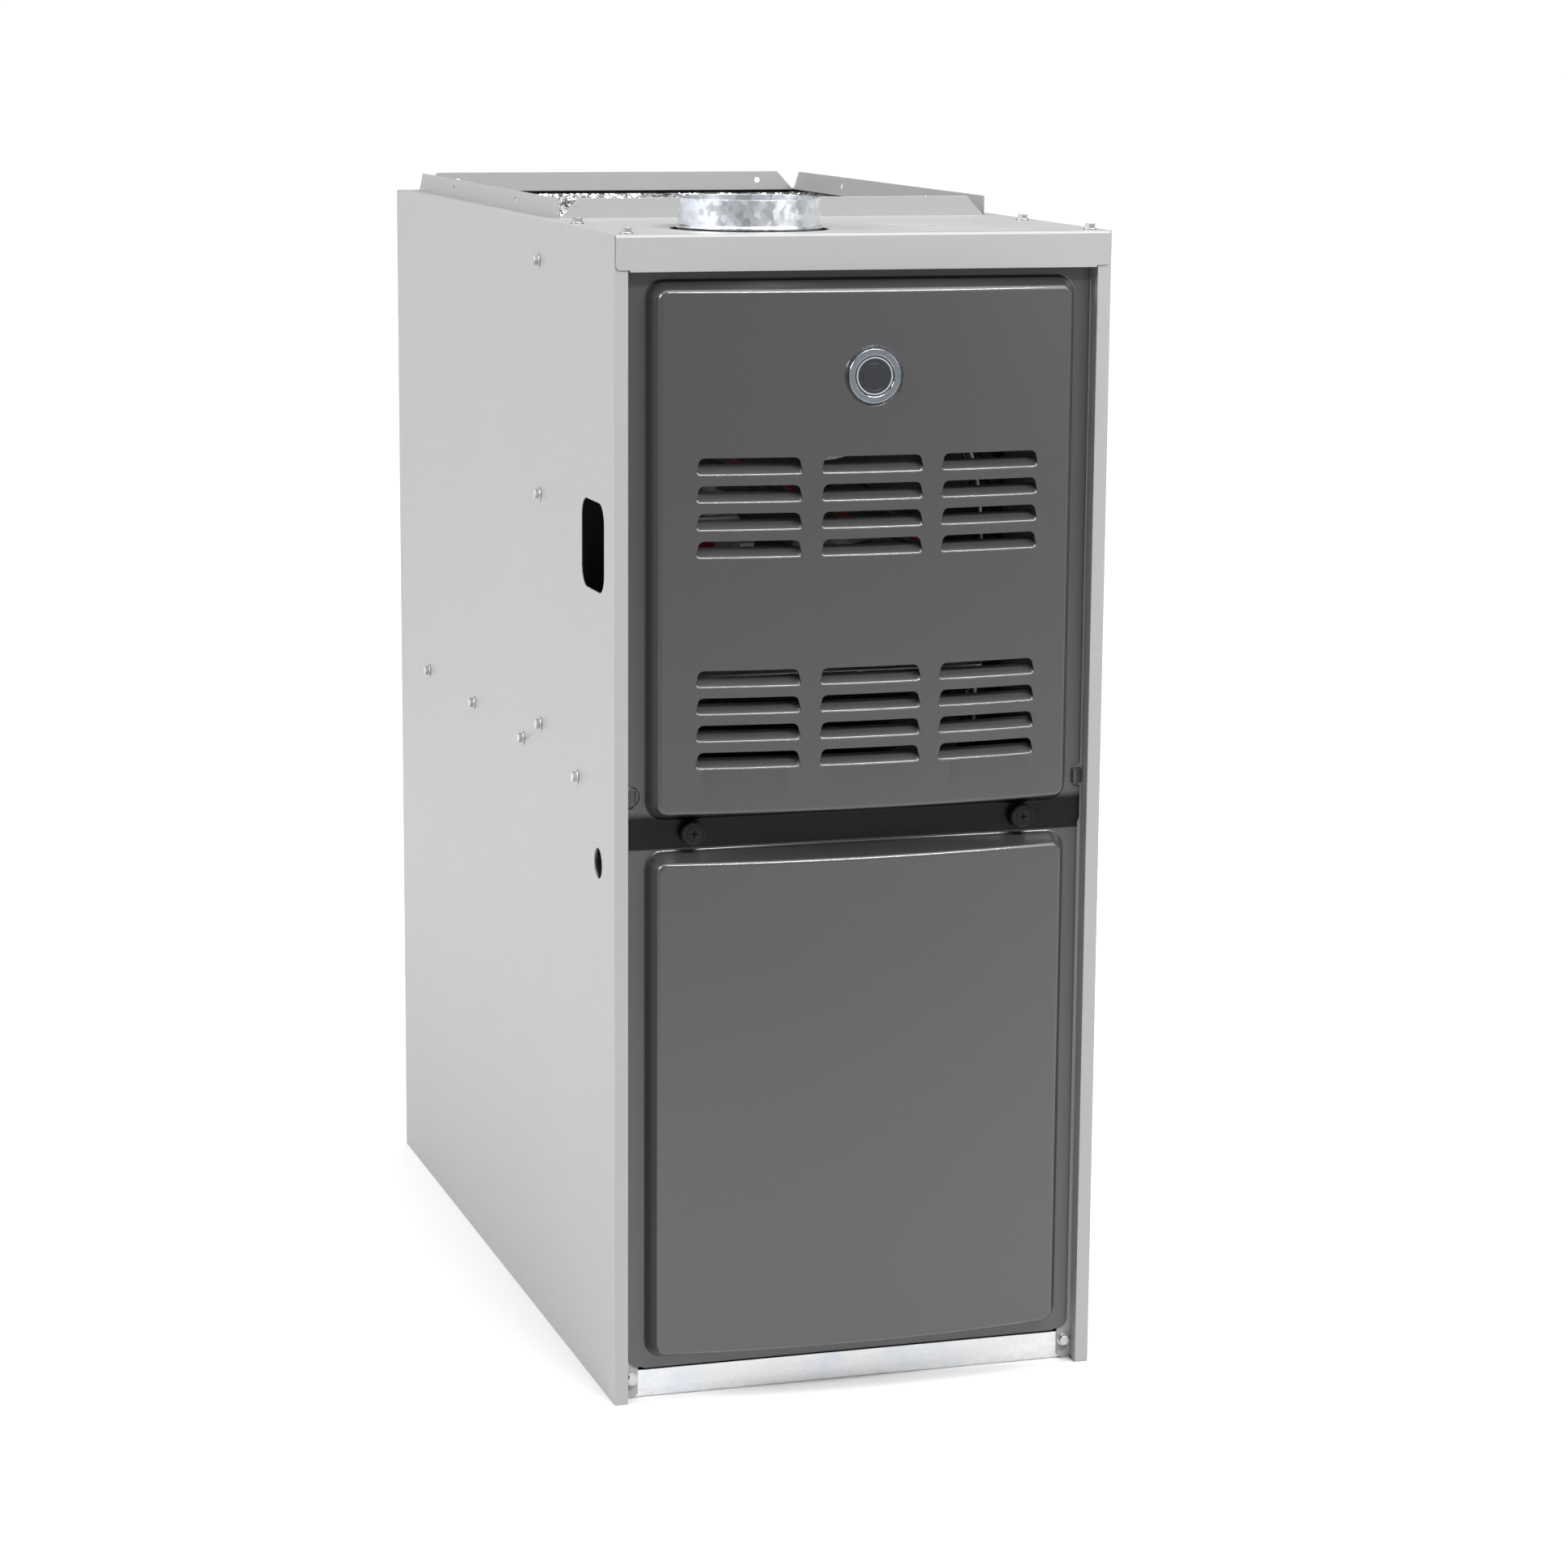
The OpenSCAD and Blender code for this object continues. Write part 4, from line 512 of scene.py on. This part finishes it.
def crumpled_liner():
    """Foil-faced insulation: the faces that look into the furnace are crinkled."""
    low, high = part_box("foil_insulation")
    half_wall = 7.3 * MM
    end, top = 2 * MM, 1.5 * MM  # left flat at the liner's ends and at its upper edge
    piece = skin_of("foil_insulation", "_crumpled")
    apply_modifier(piece, "REMESH", mode="VOXEL", voxel_size=4 * MM)
    inner = piece.vertex_groups.new(name="inner_faces")
    facing = [v.index for v in piece.data.vertices
              if low.x + half_wall < v.co.x < high.x - half_wall
              and low.y + end < v.co.y < high.y - half_wall
              and low.z + end < v.co.z < high.z - top]
    inner.add(facing, 1.0, "REPLACE")
    # Each crumple is a texture, its size in metres and its depth in millimetres.
    crumples = (("VORONOI", 0.03, 3.0), ("CLOUDS", 0.05, 2.0), ("VORONOI", 0.012, 1.6))
    for kind, size, depth in crumples:
        texture = bpy.data.textures.new("crumple_%d" % (size * 1000), kind)
        texture.noise_scale = size
        apply_modifier(piece, "DISPLACE", texture=texture, strength=depth * MM, mid_level=0.8,
                       texture_coords="LOCAL", vertex_group="inner_faces")
    apply_modifier(piece, "TRIANGULATE")
    smooth(piece, 22)
    return finish_piece(piece, "foil", "cabinet", "foil_insulation")


crumpled_liner()


# ---------------------------------------------------------------- leads in the burner room

LEAD_RADIUS = 1.25
BUNDLE_RADIUS = 3.2
BUNDLE_TURN = 2.4  # the angle from one lead of the bundle to the next, in radians


def leads():
    """Wires of the burner compartment, from a bushing in the deck to each control."""
    trunk = [(146, 178, 400), (146, 178, 438), (146, 178, 470), (150, 182, 520), (152, 178, 575)]
    routes = {
        "limit": ("black_plastic", [(120, 176, 610), (70, 178, 640), (25, 184, 665),
                                    (4, 198, 674)]),
        "limit_return": ("grey_plastic", [(118, 180, 606), (66, 184, 634), (18, 186, 655),
                                         (-4, 198, 674)]),
        "rollout_right": ("grey_plastic", [(110, 172, 598), (70, 176, 606), (48, 190, 600),
                                           (47, 203, 590)]),
        "rollout_left": ("grey_plastic", [(100, 168, 604), (30, 170, 622), (-30, 180, 612),
                                          (-37, 203, 590)]),
        "igniter": ("ceramic_white", [(104, 150, 560), (72, 140, 520), (50, 160, 508),
                                      (44, 196, 530)]),
        "igniter_return": ("ceramic_white", [(100, 152, 566), (70, 146, 526), (48, 168, 514),
                                             (40, 196, 530)]),
        "flame": ("ceramic_white", [(80, 132, 540), (20, 120, 496), (-30, 140, 492),
                                    (-42, 186, 534)]),
        "valve_feed": ("black_plastic", [(96, 120, 606), (10, 96, 628), (-60, 80, 668),
                                         (-112, 70, 690), (-120, 62, 668), (-120, 60, 650)]),
        "valve_return": ("red_plastic", [(92, 124, 612), (8, 104, 634), (-62, 88, 676),
                                         (-118, 78, 698), (-126, 66, 668), (-126, 64, 650)]),
        "inducer_feed": ("black_plastic", [(128, 120, 640), (96, 70, 700), (40, 34, 700),
                                           (-20, 30, 690), (-48, 34, 712), (-50, 38, 728)]),
        "inducer_return": ("ceramic_white", [(130, 116, 646), (98, 64, 708), (44, 28, 706),
                                             (-22, 24, 684), (-56, 30, 706), (-56, 38, 728)]),
        "switch": ("black_plastic", [(156, 168, 610), (160, 170, 640), (158, 186, 650)]),
        "switch_return": ("grey_plastic", [(150, 166, 612), (146, 168, 640), (146, 186, 652)]),
    }
    for i, (name, (slot, route)) in enumerate(routes.items()):
        across = BUNDLE_RADIUS * math.cos(i * BUNDLE_TURN)
        behind = BUNDLE_RADIUS * math.sin(i * BUNDLE_TURN)
        start = [(x + across, y + behind, z) for x, y, z in trunk]
        finish_piece(lead("lead_" + name, start + route), slot, "cabinet")
    band = [(4.6, -2), (5.6, -2), (5.6, 2), (4.6, 2), (4.6, -2)]
    for i, place in enumerate(trunk[2:]):
        tie = turned("lead_tie_%d" % i, band, at(*place), 24)
        smooth(tie)
        finish_piece(tie, "black_plastic", "cabinet")
    collar = [(6, -5), (9, -5), (9, -2), (7.5, -1), (7.5, 1.2), (9, 2), (9, 5), (6, 5), (6, -5)]
    bushing = turned("deck_bushing", collar, at(146, 178, 440.5), 28)
    smooth(bushing)
    finish_piece(bushing, "black_plastic", "cabinet")


leads()


# ---------------------------------------------------------------- studio

def floor_sheet():
    """A pale sheet, dimmer before the doors and far to the left, so they mirror less of it."""
    deselect()
    bpy.ops.mesh.primitive_grid_add(x_subdivisions=6, y_subdivisions=6, size=120)
    floor = named("floor")
    ground = Finish("floor_white", grey(0.95), 0.9)
    ahead = ground.node("SeparateXYZ", None, {0: ground.place}, "Y")
    aside = ground.node("SeparateXYZ", None, {0: ground.place}, "X")
    left = ground.ramp(aside, -1.7, -0.68, 0.5, 0.0) * ground.ramp(ahead, 0.3, 2.5, 1.0, 0.0)
    fall = ground.ramp(ahead, -1.8, 1.5, 0.4, 1.0) * (1.0 - left)
    ground.set("Base Color", ground.shaded(grey(0.95), fall))
    ground.set("Roughness", ground.ramp(ground.noise(2.0, 2.0), 0.2, 0.8, 0.85, 0.95))
    floor.data.materials.append(ground.material)


def softbox(name, place, target, size, radiance):
    """A soft area light of a given brightness to the eye."""
    data = bpy.data.lights.new(name, "AREA")
    data.shape = "RECTANGLE"
    data.size, data.size_y = size
    data.energy = radiance * math.pi * size[0] * size[1]
    lamp = bpy.data.objects.new(name, data)
    lamp.location = place
    aim = Vector(target) - Vector(place)
    lamp.rotation_euler = aim.to_track_quat("-Z", "Y").to_euler()
    bpy.context.scene.collection.objects.link(lamp)


def studio_room():
    """White low down, dim walls, and a bright ceiling that lights the floor evenly."""
    world = bpy.data.worlds.new("studio")
    room = Nodes(world)
    ray = room.node("TexCoord", out="Generated")
    rise = room.node("SeparateXYZ", None, {0: ray}, "Z")
    ahead = room.node("SeparateXYZ", None, {0: ray}, "Y")
    low = room.ramp(rise, 0.06, 0.20, 1.05, 0.14) * room.ramp(ahead, -0.3, 0.1, 0.5, 1.0)
    light = low + room.ramp(rise, 0.66, 0.86, 0.0, 2.5)
    backdrop = room.node("Background", None, {"Color": (1, 1, 1), "Strength": light})
    room.node("OutputWorld", None, {"Surface": backdrop})
    bpy.context.scene.world = world


floor_sheet()
studio_room()
softbox("left_softbox", place=(-2.8, -0.5, 2.2), target=(-0.2, 0, 0.6), size=(1.2, 1.0),
        radiance=24.0)
softbox("right_softbox", place=(2.4, -2.5, 1.7), target=(0, -0.3, 0.5), size=(0.9, 1.5),
        radiance=5.0)
softbox("front_softbox", place=(0.9, -2.6, 3.0), target=(0, -0.38, 0.5), size=(2.4, 0.22),
        radiance=92.0)
bpy.context.scene.view_settings.view_transform = "Standard"
